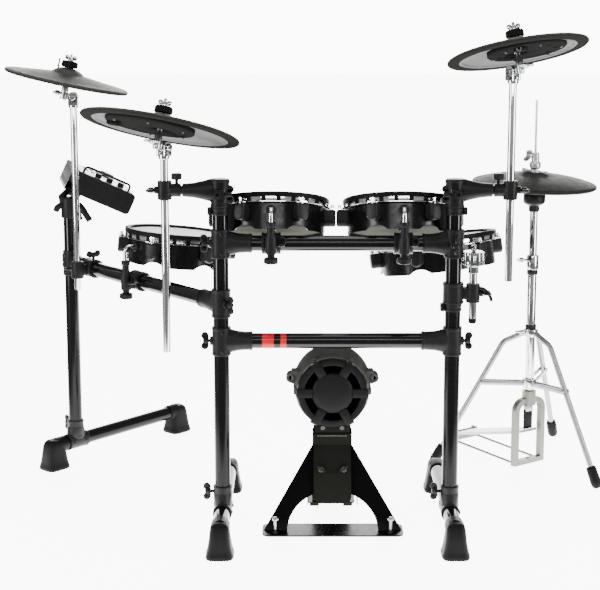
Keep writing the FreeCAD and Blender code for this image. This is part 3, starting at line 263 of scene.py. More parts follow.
MOTTLE = mottle_group()
WEAVE = weave_group()


# Materials

def material(name, color, rough, spread=0.06, metal=0.0, gloss=0.5, grain=0.0, grain_scale=900.0):
    """Principled material with uneven roughness and, where grain is given, a fine bump."""
    mat = bpy.data.materials.new(name)
    mat.use_nodes = True
    tree = mat.node_tree
    shader = tree.nodes["Principled BSDF"]
    shader.inputs["Base Color"].default_value = (*color, 1.0)
    shader.inputs["Metallic"].default_value = metal
    shader.inputs["Specular IOR Level"].default_value = gloss
    uneven = group_value(tree, MOTTLE, Scale=60.0, Low=max(0.02, rough - spread), High=rough + spread)
    tree.links.new(uneven, shader.inputs["Roughness"])
    if grain:
        add_bump(tree, group_value(tree, MOTTLE, Scale=grain_scale, Low=0.0, High=1.0), grain, 0.0004)
    return mat


def gloss_by_height(mat, heights, glosses):
    """Gives a material a gloss that changes between two heights above the floor, in metres."""
    tree = mat.node_tree
    gloss = map_range(tree, axes(tree, "Object")["Z"], heights, glosses)
    tree.links.new(gloss, tree.nodes["Principled BSDF"].inputs["Specular IOR Level"])
    return mat


def painted_light_on_top(mat, color, top_color, top_gloss):
    """Gives a material of one colour and no gloss, and on the faces that look up another, lighter colour and
    gloss: painted light on the top.
    """
    tree = mat.node_tree
    shader = tree.nodes["Principled BSDF"]
    up = axes(tree, "Normal")["Z"]
    facing = (0.0, 0.3)
    tree.links.new(map_range(tree, up, facing, (0.0, top_gloss)), shader.inputs["Specular IOR Level"])
    tint = mix_colors(tree, map_range(tree, up, facing), color, top_color)
    tree.links.new(tint, shader.inputs["Base Color"])
    return mat


def mesh_head_material():
    """White drum mesh with a woven surface."""
    mat = material("white mesh", (0.82, 0.82, 0.80), 0.6)
    add_bump(mat.node_tree, group_value(mat.node_tree, WEAVE), 0.5, 0.0005)
    return mat


def striped_tube_material():
    """Black tube paint with two red bands."""
    mat = material("striped tube paint", PAINT, 0.12, 0.03, gloss=0.25)
    tree = mat.node_tree
    x = axes(tree, "Object")["X"]
    inside = [math_node(tree, "COMPARE", x, (low + high) / 2, (high - low) / 2) for low, high in RED_BANDS]
    color = mix_colors(tree, math_node(tree, "ADD", *inside), PAINT, RED)
    tree.links.new(color, tree.nodes["Principled BSDF"].inputs["Base Color"])
    return mat


PAINT = (0.003, 0.003, 0.0032)
RED = (0.42, 0.004, 0.012)
RED_BANDS = ((-0.182, -0.153), (-0.1374, -0.1227))      # along the lower crossbar, in metres
# Cymbal rubber: its own colour below, and a lighter colour on the faces that look up, which is painted light
# on the top
SKIN_UNDER = (0.019, 0.019, 0.0175)
SKIN_PAINTED_LIT_TOP = (0.032, 0.032, 0.0275)
TUBE = gloss_by_height(material("tube paint", PAINT, 0.12, 0.03), (0.3, 0.56), (0.1, 0.25))
NYLON = material("joint nylon", (0.008, 0.008, 0.0083), 0.38, gloss=0.1, grain=0.2)
RUBBER = material("black rubber", (0.004, 0.004, 0.0042), 0.45, gloss=0.05, grain=0.3)
# The lighter, glossier top of the cymbal rubber is painted light
SKIN = painted_light_on_top(material("cymbal rubber", SKIN_UNDER, 0.5, grain=0.35, grain_scale=1400.0),
                    SKIN_UNDER, SKIN_PAINTED_LIT_TOP, 0.05)
HAT_SKIN = material("hi-hat rubber", (0.016, 0.0158, 0.0135), 0.5, gloss=0.02, grain=0.45, grain_scale=700.0)
HOOD = material("kick hood", (0.06, 0.06, 0.056), 0.5, gloss=0.0, grain=0.2)
CHROME = material("chrome", (0.6, 0.61, 0.62), 0.09, 0.03, metal=1.0)
# Chrome for the small parts with a darker colour than CHROME: painted shade that stands in for their dark
# reflections
SHADED_CHROME = material("small chrome", (0.36, 0.365, 0.37), 0.1, 0.03, metal=1.0)
STEEL = material("bright steel", (0.45, 0.46, 0.47), 0.25, metal=1.0)
DARK_STEEL = material("black screws", (0.01, 0.01, 0.0105), 0.35, metal=0.6)
# Pale, less metallic chrome for the hi-hat clutch: a painted bright reflection
BRIGHTENED_CHROME = material("pale zinc", (0.42, 0.42, 0.42), 0.28, metal=0.6)
SATIN = material("satin chrome", (0.24, 0.242, 0.245), 0.32, metal=1.0)
CAST = material("cast aluminium", (0.12, 0.118, 0.108), 0.42, metal=0.8, grain=0.15)
PLATED = material("footboard", (0.3, 0.3, 0.295), 0.36, metal=0.9, grain=0.15)
PANEL = material("module panel", (0.13, 0.13, 0.128), 0.55, gloss=0.0)
SILVER = material("silver paint", (0.36, 0.365, 0.37), 0.38, metal=0.7)
TRAY = material("cymbal tray", (0.17, 0.17, 0.172), 0.6, gloss=0.0)
HOUSING = material("sensor housing", (0.014, 0.014, 0.0138), 0.6, gloss=0.0)
PLATE = material("matt plate", (0.045, 0.045, 0.04), 0.8, gloss=0.0)
STAND = gloss_by_height(material("stand paint", (0.002, 0.002, 0.002), 0.3), (0.006, 0.03), (0.06, 0.0))
SHEET = material("stand sheet", (0.0075, 0.0075, 0.0065), 0.45, gloss=0.0)
CAP = material("kick cap", (0.006, 0.006, 0.0062), 0.4, gloss=0.05)
ZINC = material("zinc", (0.09, 0.09, 0.088), 0.35, metal=1.0)
GLOSS = material("gloss shell", (0.003, 0.003, 0.0032), 0.2, gloss=0.14)
MESH = mesh_head_material()
FOAM = material("foam", (0.04, 0.04, 0.042), 0.85, grain=0.6, grain_scale=600.0)
# Near-black, glossless sheet for the bottom of the kick's recess: painted shade
RECESS_SHADE = material("recess black", (0.001, 0.001, 0.001), 0.9, gloss=0.0)
CLOTH = material("kick cloth", (0.02, 0.02, 0.021), 0.8, grain=0.6, grain_scale=1600.0)
STRIPED = striped_tube_material()
GLASS = material("screen", (0.02, 0.025, 0.03), 0.1)

# The part's colour slot that each material belongs to
SLOTS = {"rack_black": (TUBE, STRIPED), "joint_black": (NYLON, DARK_STEEL, HOUSING, PLATE),
         "rubber_black": (RUBBER, SKIN, HAT_SKIN), "chrome": (CHROME, SHADED_CHROME, STEEL, BRIGHTENED_CHROME, SATIN, ZINC),
         "tray_silver": (TRAY, PANEL, SILVER), "shell_black": (GLOSS, HOOD, SHEET, CAP, RECESS_SHADE, GLASS),
         "mesh_white": (MESH,), "kick_cloth": (FOAM, CLOTH)}


# Placements

def move(x, y, z):
    return Matrix.Translation((x, y, z))


def rotate(axis, degrees):
    return Matrix.Rotation(math.radians(degrees), 4, axis)


RIGHT = Vector((1, 0, 0))
BACK = Vector((0, 1, 0))
HOME = Matrix.Identity(4)
TO_RIGHT = rotate("Y", 90)       # local Z runs along +X
TO_LEFT = rotate("Y", -90)
TO_FRONT = rotate("X", 90)       # local Z runs along -Y
TO_REAR = rotate("X", -90)
TO_FLOOR = rotate("X", 180)
QUARTER = rotate("Z", 90)


def at(xy, z):
    return Vector((xy.x, xy.y, z))


def heading(degrees):
    return Vector((math.cos(math.radians(degrees)), math.sin(math.radians(degrees)), 0.0))


def yaw_of(direction):
    """Turn about Z, in degrees, that brings +Y onto a level direction."""
    return math.degrees(math.atan2(-direction.x, direction.y))


def turned(direction):
    """Turn about Z, in degrees, that brings +X onto a level direction."""
    return yaw_of(direction) + 90.0


def leaning(lean_x, lean_y):
    """Heading and angle of a lean that is given in degrees towards +X and +Y."""
    tip = Vector((math.tan(math.radians(lean_x)), math.tan(math.radians(lean_y)), 0))
    return yaw_of(tip), math.degrees(math.atan(tip.length))


def seat(origin, yaw=0.0, lean=0.0):
    """Leans +Z towards +Y, then turns about Z and moves to origin."""
    return Matrix.Translation(origin) @ rotate("Z", yaw) @ rotate("X", -lean)


def along(start, direction):
    """Placement at start whose Z runs along direction."""
    return Matrix.Translation(start) @ direction.to_track_quat("Z", "Y").to_matrix().to_4x4()


def across(x):
    """Ring placement square to local X: its width runs along Y and its height along Z."""
    return move(x, 0, 0) @ Matrix(((0, 0, 1, 0), (1, 0, 0, 0), (0, 1, 0, 0), (0, 0, 0, 1)))


# Drawing helpers, in millimetres

def draw():
    return bmesh.new()


def lathe(bm, profile, place=HOME, steps=64):
    """Spins a closed outline of (radius, height) corners about the local Z axis."""
    verts = [bm.verts.new(place @ Vector((r, 0.0, z))) for r, z in profile]
    edges = [bm.edges.new(pair) for pair in zip(verts, verts[1:] + verts[:1])]
    axis = (place.to_3x3() @ Vector((0, 0, 1))).normalized()
    bmesh.ops.spin(bm, geom=verts + edges, cent=place.to_translation(), axis=axis, angle=math.tau,
                   steps=steps, use_merge=True, use_duplicate=False)


def disc(bm, place, radius, low, high, steps):
    lathe(bm, [(0, low), (radius, low), (radius, high), (0, high)], place, steps)


def barrel(bm, place, bore, radius, low, high, edge):
    """Ring with chamfered outer edges."""
    lathe(bm, [(bore, low), (radius - edge, low), (radius, low + edge), (radius, high - edge),
               (radius - edge, high), (bore, high)], place, 40)


def cylinder(bm, start, end, radius, steps=40):
    reach = end - start
    bmesh.ops.create_cone(bm, cap_ends=True, segments=steps, radius1=radius, radius2=radius,
                          depth=reach.length, matrix=along((start + end) / 2, reach))


def box(bm, x0, x1, y0, y1, z0, z1, place=HOME):
    size = Matrix.Diagonal((abs(x1 - x0), abs(y1 - y0), abs(z1 - z0), 1.0))
    middle = move((x0 + x1) / 2, (y0 + y1) / 2, (z0 + z1) / 2)
    bmesh.ops.create_cube(bm, size=1.0, matrix=place @ middle @ size)


def rounded_bar(bm, span_x, span_y, span_z, radius, place):
    """Bar along local Y whose two far corners in X are rounded."""
    (x0, x1), (y0, y1), (z0, z1) = span_x, span_y, span_z
    outline = [(x0, z1), (x0, z0)]
    for middle_z, start in ((z0 + radius, -90), (z1 - radius, 0)):
        for k in range(9):
            turn = math.radians(start + 90 * k / 8)
            outline.append((x1 - radius + radius * math.cos(turn), middle_z + radius * math.sin(turn)))
    face = bm.faces.new([bm.verts.new(place @ Vector((x, y0, z))) for x, z in outline])
    grown = bmesh.ops.extrude_face_region(bm, geom=[face])
    step = (place.to_3x3() @ BACK) * (y1 - y0)
    bmesh.ops.translate(bm, vec=step, verts=[v for v in grown["geom"] if isinstance(v, bmesh.types.BMVert)])


def ring_edges(made):
    """Edges of a circle that was just made, in the same order each run."""
    return list(dict.fromkeys(edge for vert in made["verts"] for edge in vert.link_edges))


def skin(bm, loops, steps=None):
    """Joins loops of edges in order; the ends are capped where steps is given, and else meet each other."""
    followers = loops[1:] if steps else loops[1:] + loops[:1]
    for first, second in zip(loops, followers):
        bmesh.ops.bridge_loops(bm, edges=first + second)
    if steps:
        bmesh.ops.holes_fill(bm, edges=loops[0] + loops[-1], sides=steps)


def loft(bm, rings, place=HOME, steps=48):
    """Skins (matrix, half width, half height) ellipses in order and caps both ends."""
    loops = []
    for turn, half_x, half_y in rings:
        made = bmesh.ops.create_circle(bm, segments=steps, radius=1.0,
                                       matrix=place @ turn @ Matrix.Diagonal((half_x, half_y, 1.0, 1.0)))
        loops.append(ring_edges(made))
    skin(bm, loops, steps)


def horn(bm, rings, place):
    """Loft along local X through (x, half width, half height) ellipses."""
    loft(bm, [(across(x), half_y, half_z) for x, half_y, half_z in rings], place)


def sweep(bm, points, radius, steps=20, flat=1.0):
    """Bar through points, with its ends capped; flat is its thickness in its width."""
    rings = []
    for k, point in enumerate(points):
        before = points[max(0, k - 1)]
        after = points[min(len(points) - 1, k + 1)]
        rings.append((along(point, (after - before).normalized()), radius, radius * flat))
    loft(bm, rings, HOME, steps)


def bend_points(start, corner, direction, reach, bend, count=8):
    """Points of a bar from start to a corner, round it, and on along direction."""
    first = (corner - start).normalized()
    half = math.acos(max(-1.0, min(1.0, first.dot(direction)))) / 2
    tangent = bend * math.tan(half)
    inward = (direction - first).normalized()
    centre = corner + inward * (bend / math.cos(half))
    t1, t2 = corner - first * tangent, corner + direction * tangent
    arc = []
    for k in range(count + 1):
        mixed = (t1 - centre).lerp(t2 - centre, k / count)
        arc.append(centre + mixed.normalized() * bend)
    return [start] + arc + [corner + direction * reach]


def wing_bolt(bm, place, length):
    """Wing bolt along local Z from the origin of place."""
    lathe(bm, [(0, 0), (4, 0), (4, length), (7, length), (7, length + 10), (5, length + 13),
               (0, length + 13)], place, 24)
    for side in (-1, 1):
        flat = place @ move(0, side * 13.0, length + 9) @ TO_RIGHT
        lathe(bm, [(0, -3), (7, -3), (9, -1.2), (9, 1.2), (7, 3), (0, 3)], flat, 20)
    box(bm, -3, 3, -13, 13, length - 0.5, length + 13.5, place)


def cap_screw(bm, place, radius):
    """Socket-head screw along local Z."""
    socket = radius * 0.55
    lathe(bm, [(0, 0), (radius, 0), (radius, 4.5), (radius - 1, 5.5), (socket, 5.5), (socket, 2.5), (0, 2.5)],
          place, 20)


def fluted_knob(bm, place, radius, height, flutes=10):
    """Round knob with a scalloped rim, along local Z."""
    steps = flutes * 8
    loops = []
    for share, level in ((0.86, 0.0), (1.0, 0.12), (1.0, 0.8), (0.88, 1.0)):
        made = bmesh.ops.create_circle(bm, segments=steps, radius=radius * share)
        for vert in made["verts"]:
            turn = math.atan2(vert.co.y, vert.co.x)
            grow = 1.0 - 0.07 * (0.5 + 0.5 * math.cos(flutes * turn)) ** 2
            vert.co = place @ Vector((vert.co.x * grow, vert.co.y * grow, height * level))
        loops.append(ring_edges(made))
    skin(bm, loops, steps)


def piece(name, bm, mat, body, replaced=None, bevel=0.0, sharp=35.0, slot=None):
    """Closes a drawing, softens its edges and makes it an object that rides on a body."""
    bmesh.ops.remove_doubles(bm, verts=bm.verts, dist=0.002)
    bmesh.ops.recalc_face_normals(bm, faces=bm.faces)
    if bevel:
        edges = [e for e in bm.edges if len(e.link_faces) == 2 and e.calc_face_angle(0.0) > math.radians(40)]
        bmesh.ops.bevel(bm, geom=edges, offset=bevel, segments=2, profile=0.5, affect="EDGES", material=-1,
                        clamp_overlap=True)
        bmesh.ops.recalc_face_normals(bm, faces=bm.faces)
    for face in bm.faces:
        face.smooth = True
    for edge in bm.edges:
        edge.smooth = len(edge.link_faces) != 2 or edge.calc_face_angle(0.0) < math.radians(sharp)
    bmesh.ops.transform(bm, matrix=Matrix.Scale(MM, 4), verts=bm.verts)
    name = name.replace(" ", "_")
    mesh = bpy.data.meshes.new(name)
    bm.to_mesh(mesh)
    bm.free()
    mesh.materials.append(mat)
    obj = bpy.data.objects.new(name, mesh)
    bpy.context.scene.collection.objects.link(obj)
    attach(obj, body)
    slot or next(label for label, mats in SLOTS.items() if mat in mats)
    if replaced:
        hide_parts(replaced)
    return obj


# Rack

def rack_tube(name, spans, mat, replaced):
    bm = draw()
    for start, end in spans:
        reach = (end - start).length
        lathe(bm, [(TUBE_R - 2, 0), (TUBE_R - 0.5, 0), (TUBE_R, 0.6), (TUBE_R, reach - 0.6),
                   (TUBE_R - 0.5, reach), (TUBE_R - 2, reach)], along(start, end - start), 56)
    piece(name, bm, mat, "kit", replaced)


def rack_tubes():
    foot = LEG_Z + TUBE_R + 3
    tops = ((FRONT_LEFT, POST_TOP), (FRONT_RIGHT, POST_TOP), (REAR_POST, REAR_POST_TOP))
    rack_tube("posts", [(at(post, foot), at(post, top)) for post, top in tops], TUBE, "rack_posts")
    for name, start, end, z, mat in (("upper crossbar", FRONT_LEFT, FRONT_RIGHT, UPPER_BAR_Z, TUBE),
                                     ("lower crossbar", FRONT_LEFT, FRONT_RIGHT, LOWER_BAR_Z, STRIPED),
                                     ("side bar", FRONT_LEFT, REAR_POST, SIDE_BAR_Z, TUBE)):
        inset = (end - start).normalized() * (TUBE_R + BAR_GAP)
        rack_tube(name, [(at(start + inset, z), at(end - inset, z))], mat, name.replace(" ", "_"))


# Post, direction to the rear foot, and the feet's distances before and behind the post
LEGS = [(FRONT_LEFT, BACK, 143.0, 322.0), (FRONT_RIGHT, BACK, 143.0, 322.0),
        (REAR_POST, heading(48.4), 80.0, 398.0)]
# Post, height, direction of the bar, and heading of the bolt from the bar
TEES = [(FRONT_LEFT, UPPER_BAR_Z, RIGHT, 180), (FRONT_RIGHT, UPPER_BAR_Z, -RIGHT, 90),
        (FRONT_LEFT, LOWER_BAR_Z, RIGHT, 180), (FRONT_RIGHT, LOWER_BAR_Z, -RIGHT, 180),
        (FRONT_LEFT, SIDE_BAR_Z, SIDE_DIR, 180), (REAR_POST, SIDE_BAR_Z, -SIDE_DIR, 180)]


def sleeve(bm, place, low, high, radius):
    """Moulded sleeve round a rack tube, with a lip at both ends."""
    bore = TUBE_R + FIT
    lathe(bm, [(bore, low), (radius - 1, low), (radius, low + 1), (radius, low + 6), (radius - 0.8, low + 7),
               (radius - 0.8, high - 7), (radius, high - 6), (radius, high - 1), (radius - 1, high),
               (bore, high)], place, 56)


def sleeve_bolt(casting, bolts, place, side):
    """Boss and wing bolt on a sleeve, at a heading."""
    out = place @ rotate("Z", side) @ TO_RIGHT
    root, tip = SLEEVE_R - 5, SLEEVE_R + 4.5
    lathe(casting, [(4.2, root), (11, root), (11, tip - 1.5), (9.5, tip), (4.2, tip)], out, 32)
    wing_bolt(bolts, out @ move(0, 0, TUBE_R + 1) @ QUARTER, 11.5)


def tee(castings, screws, bolts, place, bolt_side):
    """Sleeve on a post with a horn that takes a bar along local X."""
    half = SLEEVE_H / 2
    sleeve(castings, place, -half, half, SLEEVE_R)
    horn(castings, [(12, 20.0, half - 4), (20, 21.2, half - 5), (30, 21.9, half - 8),
                    (42, 22.3, half - 10.8), (56, 22.5, 22.9), (69, 22.6, 22.6), (69.5, 23.4, 23.4),
                    (75, 23.4, 23.4), (76, 22.4, 22.4)], place)
    sleeve_bolt(castings, bolts, place, bolt_side)
    face = place @ rotate("Z", bolt_side + 100)
    for level in (-24, 24):
        cap_screw(screws, face @ move(0, 0, level) @ TO_RIGHT @ move(0, 0, SLEEVE_R - 3.5), 4.0)


def leg_clamp(castings, screws, bolts, place):
    """Sleeve on a post's foot over a cradle that takes a leg along local X."""
    top = LEG_Z + LEG_CLAMP_H
    sleeve(castings, place, LEG_Z + 10, top, SLEEVE_R)
    sleeve(castings, place @ move(0, 0, LEG_Z) @ TO_RIGHT, -34, 34, SLEEVE_R)
    loft(castings, [(move(0, 0, LEG_Z + 8), 32, 22.5), (move(0, 0, LEG_Z + 26), 27, 22.8),
                    (move(0, 0, LEG_Z + 44), 23.2, 23.2)], place)
    wing_bolt(bolts, place @ move(0, 0, top - 16) @ TO_REAR @ move(0, 0, TUBE_R + 1), 10.5)
    for x in (-22, 22):
        cap_screw(screws, place @ move(x, 0, LEG_Z) @ TO_FRONT @ move(0, 0, SLEEVE_R - 3.5), 4.0)


def joints():
    castings, screws, bolts = draw(), draw(), draw()
    for post, z, direction, bolt_side in TEES:
        tee(castings, screws, bolts, seat(at(post, z), turned(direction)), bolt_side)
    for post, direction, _, _ in LEGS:
        leg_clamp(castings, screws, bolts, seat(post, turned(direction)))
    piece("rack joints", castings, NYLON, "kit", "rack_joints", bevel=0.6)
    piece("rack wing bolts", bolts, NYLON, "kit", "rack_wing_bolts", bevel=0.5)
    piece("joint screws", screws, DARK_STEEL, "kit")


def rounded_ring(bm, half_x, half_y, z, place, steps):
    """Level super-ellipse loop; returns its edges."""
    power = 4.0
    made = bmesh.ops.create_circle(bm, segments=steps, radius=1.0)
    for vert in made["verts"]:
        turn = math.atan2(vert.co.y, vert.co.x)
        c, s = math.cos(turn), math.sin(turn)
        grow = (abs(c) ** power + abs(s) ** power) ** (-1.0 / power)
        vert.co = place @ Vector((half_x * c * grow, half_y * s * grow, z))
    return ring_edges(made)


def boot(bm, place):
    """Rubber boot: a tread lip at the floor, a waist, a rounded shoulder over the tube, and a collar."""
    levels = [(37, 33, 0), (38, 34, 2), (38, 33.5, 8), (36.5, 32, 11), (34, 29, 24), (31.5, 25.5, 46),
              (28, 23.6, 66), (24, 21, 77), (18, 16, 82.5), (10, 9, 84)]
    steps = 56
    skin(bm, [rounded_ring(bm, half_x, half_y, z, place, steps) for half_x, half_y, z in levels], steps)
    bore, outer = TUBE_R + FIT, TUBE_R + 3.8
    lathe(bm, [(bore, 4), (outer, 4), (outer, 35), (outer - 1, 38), (bore, 38)],
          place @ move(0, 0, LEG_Z) @ TO_LEFT, 48)


def legs():
    tubes, boots = draw(), draw()
    grip = 2.0
    for post, direction, front, back in LEGS:
        start = at(post - direction * (front + grip), LEG_Z)
        end = at(post + direction * (back + grip), LEG_Z)
        cylinder(tubes, start, end, TUBE_R, 56)
        boot(boots, seat(post - direction * front, turned(-direction)))
        boot(boots, seat(post + direction * back, turned(direction)))
    piece("leg tubes", tubes, TUBE, "kit", "leg_tubes")
    piece("leg boots", boots, RUBBER, "kit", "leg_feet")


def memory_locks():
    """Stop collars under the arms and under the snare's clamp."""
    rings, screws = draw(), draw()
    half = 9
    arm_stop = ARM_Z + ARM_FOOT - LOCK_DROP
    snare_stop = SNARE_CLAMP_Z - SNARE_CLAMP_HALF - LOCK_DROP
    stops = ((FRONT_LEFT, arm_stop, -90), (FRONT_RIGHT, arm_stop, 90), (FRONT_RIGHT, snare_stop, -90))
    for post, z, yaw in stops:
        place = seat(at(post, z), yaw)
        sleeve(rings, place, -half, half, LOCK_R)
        for side in (-1, 1):
            box(rings, side * 1.2, side * 9, -LOCK_R - 9, -TUBE_R - 1.5, -half, half, place)
        cap_screw(screws, place @ move(9, -LOCK_R - 3, 0) @ TO_RIGHT, 4.5)
    piece("memory locks", rings, NYLON, "kit", "memory_locks", bevel=0.6)
    piece("memory lock screws", screws, DARK_STEEL, "kit")


# Cymbal arms

def pole_grip(bm, bolts, place):
    """Clamp barrel round an upright pole, with a wing bolt along local X."""
    half, radius = 23.0, 17.0
    barrel(bm, place, POLE_R + FIT, radius, -half, half, 1.5)
    out = place @ TO_RIGHT
    lathe(bm, [(4.2, radius - 3), (9, radius - 3), (9, radius + 7), (8, radius + 8), (4.2, radius + 8)],
          out, 32)
    wing_bolt(bolts, out @ move(0, 0, POLE_R + 0.5), radius + 9 - POLE_R)


def arm_bolt(casting, bolts, post, inward):
    """Clamp ears on the front of an arm's sleeve, with a wing bolt along X towards the toms."""
    spot = Matrix.Translation(at(post, ARM_Z - 6))
    front = -SLEEVE_R - 19
    box(casting, -12, 12, front, -TUBE_R - 1, -11, 11, spot)
    eye = spot @ move(-inward * 4, front, 0) @ TO_FRONT
    lathe(casting, [(4, -1), (8.5, -1), (8.5, 3), (7.5, 4), (4, 4)], eye, 28)
    wing_bolt(bolts, spot @ move(inward * 12, front + 7, 0) @ rotate("Y", inward * 90) @ QUARTER, 5)


def arm(name, post, yaw):
    place = seat(at(post, ARM_Z), yaw)
    casting, bolts = draw(), draw()
    top = POST_TOP - ARM_Z
    bore, low = TUBE_R + FIT, ARM_FOOT
    lathe(casting, [(bore, low), (SLEEVE_R - 1, low), (SLEEVE_R, low + 1), (SLEEVE_R, low + 7),
                    (SLEEVE_R - 0.8, low + 8), (SLEEVE_R - 0.8, top - 4), (SLEEVE_R, top - 3),
                    (SLEEVE_R, top + 2), (SLEEVE_R - 2, top + 5), (SLEEVE_R - 5, top + 6), (0, top + 6),
                    (0, top + 0.5), (bore, top + 0.5)], place, 56)
    horn(casting, [(12, 20, 29), (24, 20.5, 27.5), (40, 20, 23), (62, 18, 18.2), (82, 16.2, 16.2),
                   (89, 15.8, 15.8), (90, 14.8, 14.8)], place)
    cylinder(casting, place @ Vector((66, 0, 0)), place @ Vector((ARM_LEN - 18, 0, 0)), BOOM_R)
    bore = BOOM_R + 0.1
    ring = place @ move(94, 0, 0) @ TO_RIGHT
    lathe(casting, [(bore, 0), (16, 0), (16, 24), (13, 30), (bore, 30)], ring, 40)
    pole_grip(casting, bolts, place @ move(ARM_LEN, 0, 0))
    arm_bolt(casting, bolts, post, math.copysign(1, -post.x))
    disc(bolts, place @ move(104, 0, 15.8), 4, 0, 11, 20)
    fluted_knob(bolts, place @ move(104, 0, 25.8), 13, 15)
    body = name + "_arm"
    piece(name + " arm", casting, NYLON, body, body, bevel=0.6)
    piece(name + " arm bolts", bolts, NYLON, body, bevel=0.5)


CRASH_BASE = REAR_POST - SIDE_DIR * CRASH_ALONG
POLES = {"ride": FRONT_LEFT - RIGHT * ARM_LEN, "right_crash": FRONT_RIGHT + RIGHT * ARM_LEN,
         "left_crash": CRASH_BASE + BAR_OUT * CRASH_REACH}
BAR_YAW = yaw_of(-BAR_OUT)


def left_crash_clamp():
    place = seat(at(CRASH_BASE, SIDE_BAR_Z), BAR_YAW)
    bm, bolts = draw(), draw()
    sleeve(bm, place @ TO_RIGHT, -23, 23, CLAMP_RING_R)
    box(bm, -12, 12, -40, -20, -14, 14, place)
    pole_grip(bm, bolts, place @ move(0, -CRASH_REACH, 0) @ rotate("Z", 180))
    wing_bolt(bolts, place @ move(8, 0, TUBE_R + 1), 12)
    piece("left crash clamp", bm, NYLON, "kit", "left_crash_clamp", bevel=0.8)
    piece("left crash clamp bolts", bolts, NYLON, "kit", bevel=0.4)


# Cymbal pads: radius, pole foot, tilt pivot, and the lean to +X and +Y in degrees

CYMBALS = {"ride": (192.0, 465.0, 967.0, 10.5, 14.0), "left_crash": (167.0, 532.0, 1061.0, 12.2, 0.5),
           "right_crash": (167.0, 641.0, 1146.0, -8.7, 13.0)}


def cymbal(name):
    radius, foot_z, pivot_z, lean_x, lean_y = CYMBALS[name]
    pivot = at(POLES[name], pivot_z)
    yaw, lean = leaning(lean_x, lean_y)
    head = seat(pivot, yaw, lean)
    place = head @ move(0, -STEM_OFF, 0)
    cymbal_skin(name, place, radius)
    cymbal_frame(name, place, radius)
    if name == "left_crash":
        peg = draw()
        disc(peg, place @ move(0, -29, 0), 2.4, BELL_Z - 7, BELL_Z + 21, 20)
        piece("left crash peg", peg, RUBBER, name)
    tilter(name, head, place)
    pole(name, foot_z, pivot_z, seat(pivot, yaw))


def ridged(start, end, count, depth):
    """Fine concentric ridges between two profile points."""
    points = []
    for k in range(count):
        for share, lift in ((0.0, 0.0), (0.5, -depth)):
            t = (k + share) / count
            points.append((start[0] + (end[0] - start[0]) * t, start[1] + (end[1] - start[1]) * t + lift))
    return points


def cymbal_skin(name, place, radius):
    shoulder = BELL_Z - BELL_H
    edge = shoulder - BOW_H
    groove = radius - RIM_W
    bow = ridged((46, shoulder - 0.3), (radius - 22, edge + 1.8), 26, 0.45)
    bell = [(5.5, BELL_Z), (14, BELL_Z - 0.3), (22, BELL_Z - 1.8), (30, BELL_Z - 5), (37, BELL_Z - 9.5),
            (42, shoulder + 1.5)]
    rim = [(radius - 14, edge + 1.2), (radius - 6, edge), (radius - 2, edge - 1.6), (radius, edge - 4.5),
           (radius - 0.4, edge - 7.5), (radius - 3, edge - 10), (groove, edge - 10), (groove, edge - 1)]
    under = [(44, shoulder - 5), (32, BELL_Z - 11), (16, BELL_Z - 5), (5.5, BELL_Z - 5)]
    bm = draw()
    lathe(bm, bell + bow + rim + under, place, 128)
    piece(name + " skin", bm, SKIN, name, name + "_pad", sharp=50)


def eccentric(bm, rings, place, steps=96):
    """Closed skin through level circles (middle y, radius, height); a height may be a rule of the reach."""
    loops = []
    for middle, radius, height in rings:
        made = bmesh.ops.create_circle(bm, segments=steps, radius=radius)
        for vert in made["verts"]:
            x, y = vert.co.x, vert.co.y + middle
            z = height(math.hypot(x, y)) if callable(height) else height
            vert.co = place @ Vector((x, y, z))
        loops.append(ring_edges(made))
    skin(bm, loops)


def cymbal_frame(name, place, radius):
    """Tray under the skin, with the sensor housing, its ribs, socket and screws."""
    shoulder = BELL_Z - BELL_H
    edge = shoulder - BOW_H
    outer, under, root = radius - RIM_W - 0.3, edge - 1.3, shoulder - 5.3
    tray = draw()
    lathe(tray, [(24, root), (44, root), (outer, under), (outer, under - 7), (outer - 2, under - 8),
                 (outer - 6, under - 7), (outer - 9, under - 3.4), (outer - 20, under - 2.4), (44, root - 3),
                 (24, root - 3)], place, 128)
    piece(name + " tray", tray, TRAY, name, name + "_frame")

    def ceiling(reach):
        share = max(0.0, reach - 44) / (outer - 64)
        return root - 3.3 + (under - 2.4 - root + 3) * share

    low, house_r, shift = edge - 13, radius * HOUSE_SHARE, -radius * HOUSE_SHIFT
    housing, metal = draw(), draw()
    eccentric(housing, [(0, 24, ceiling), (shift, house_r - 1, ceiling), (shift, house_r, low + 4),
                        (shift, house_r - 3, low + 1), (shift, house_r - 8, low), (shift, house_r - 20, low),
                        (shift, house_r - 21.5, low + 1.6), (shift * 0.6, house_r * 0.54, low + 1.6),
                        (0, 34, low + 2), (0, 24, low + 7)], place)
    around = place @ move(0, shift, 0)
    for k in range(9):
        box(housing, house_r - 34, house_r - 21, -1.2, 1.2, low + 0.2, low + 3, around @ rotate("Z", 40 * k))
    jack = around @ rotate("Z", 125)
    box(housing, -13, 13, house_r - 40, house_r - 8, low - 7, low + 2, jack)
    piece(name + " sensor housing", housing, HOUSING, name, bevel=0.4)
    mouth = jack @ move(0, house_r - 8.5, low - 2.5) @ TO_REAR
    lathe(metal, [(3, 0), (6.5, 0), (6.5, 2), (5, 3), (3, 3)], mouth, 24)
    for k in range(6):
        cap_screw(metal, around @ rotate("Z", 60 * k + 10) @ move(house_r - 14, 0, low + 1) @ TO_FLOOR, 3.0)
    piece(name + " housing screws", metal, ZINC, name)


def wing_nut(bm, place):
    lathe(bm, [(4.2, 0), (8, 0), (8, 2), (6.5, 4), (6, 10), (5, 11), (4.2, 11)], place, 28)
    for side in (-1, 1):
        flat = place @ move(0, side * 10.5, 9) @ TO_RIGHT
        lathe(bm, [(0, -2), (5, -2), (6.5, -1), (6.5, 1), (5, 2), (0, 2)], flat, 24)
        box(bm, -2, 2, side * 5, side * 10, 3, 11, place)


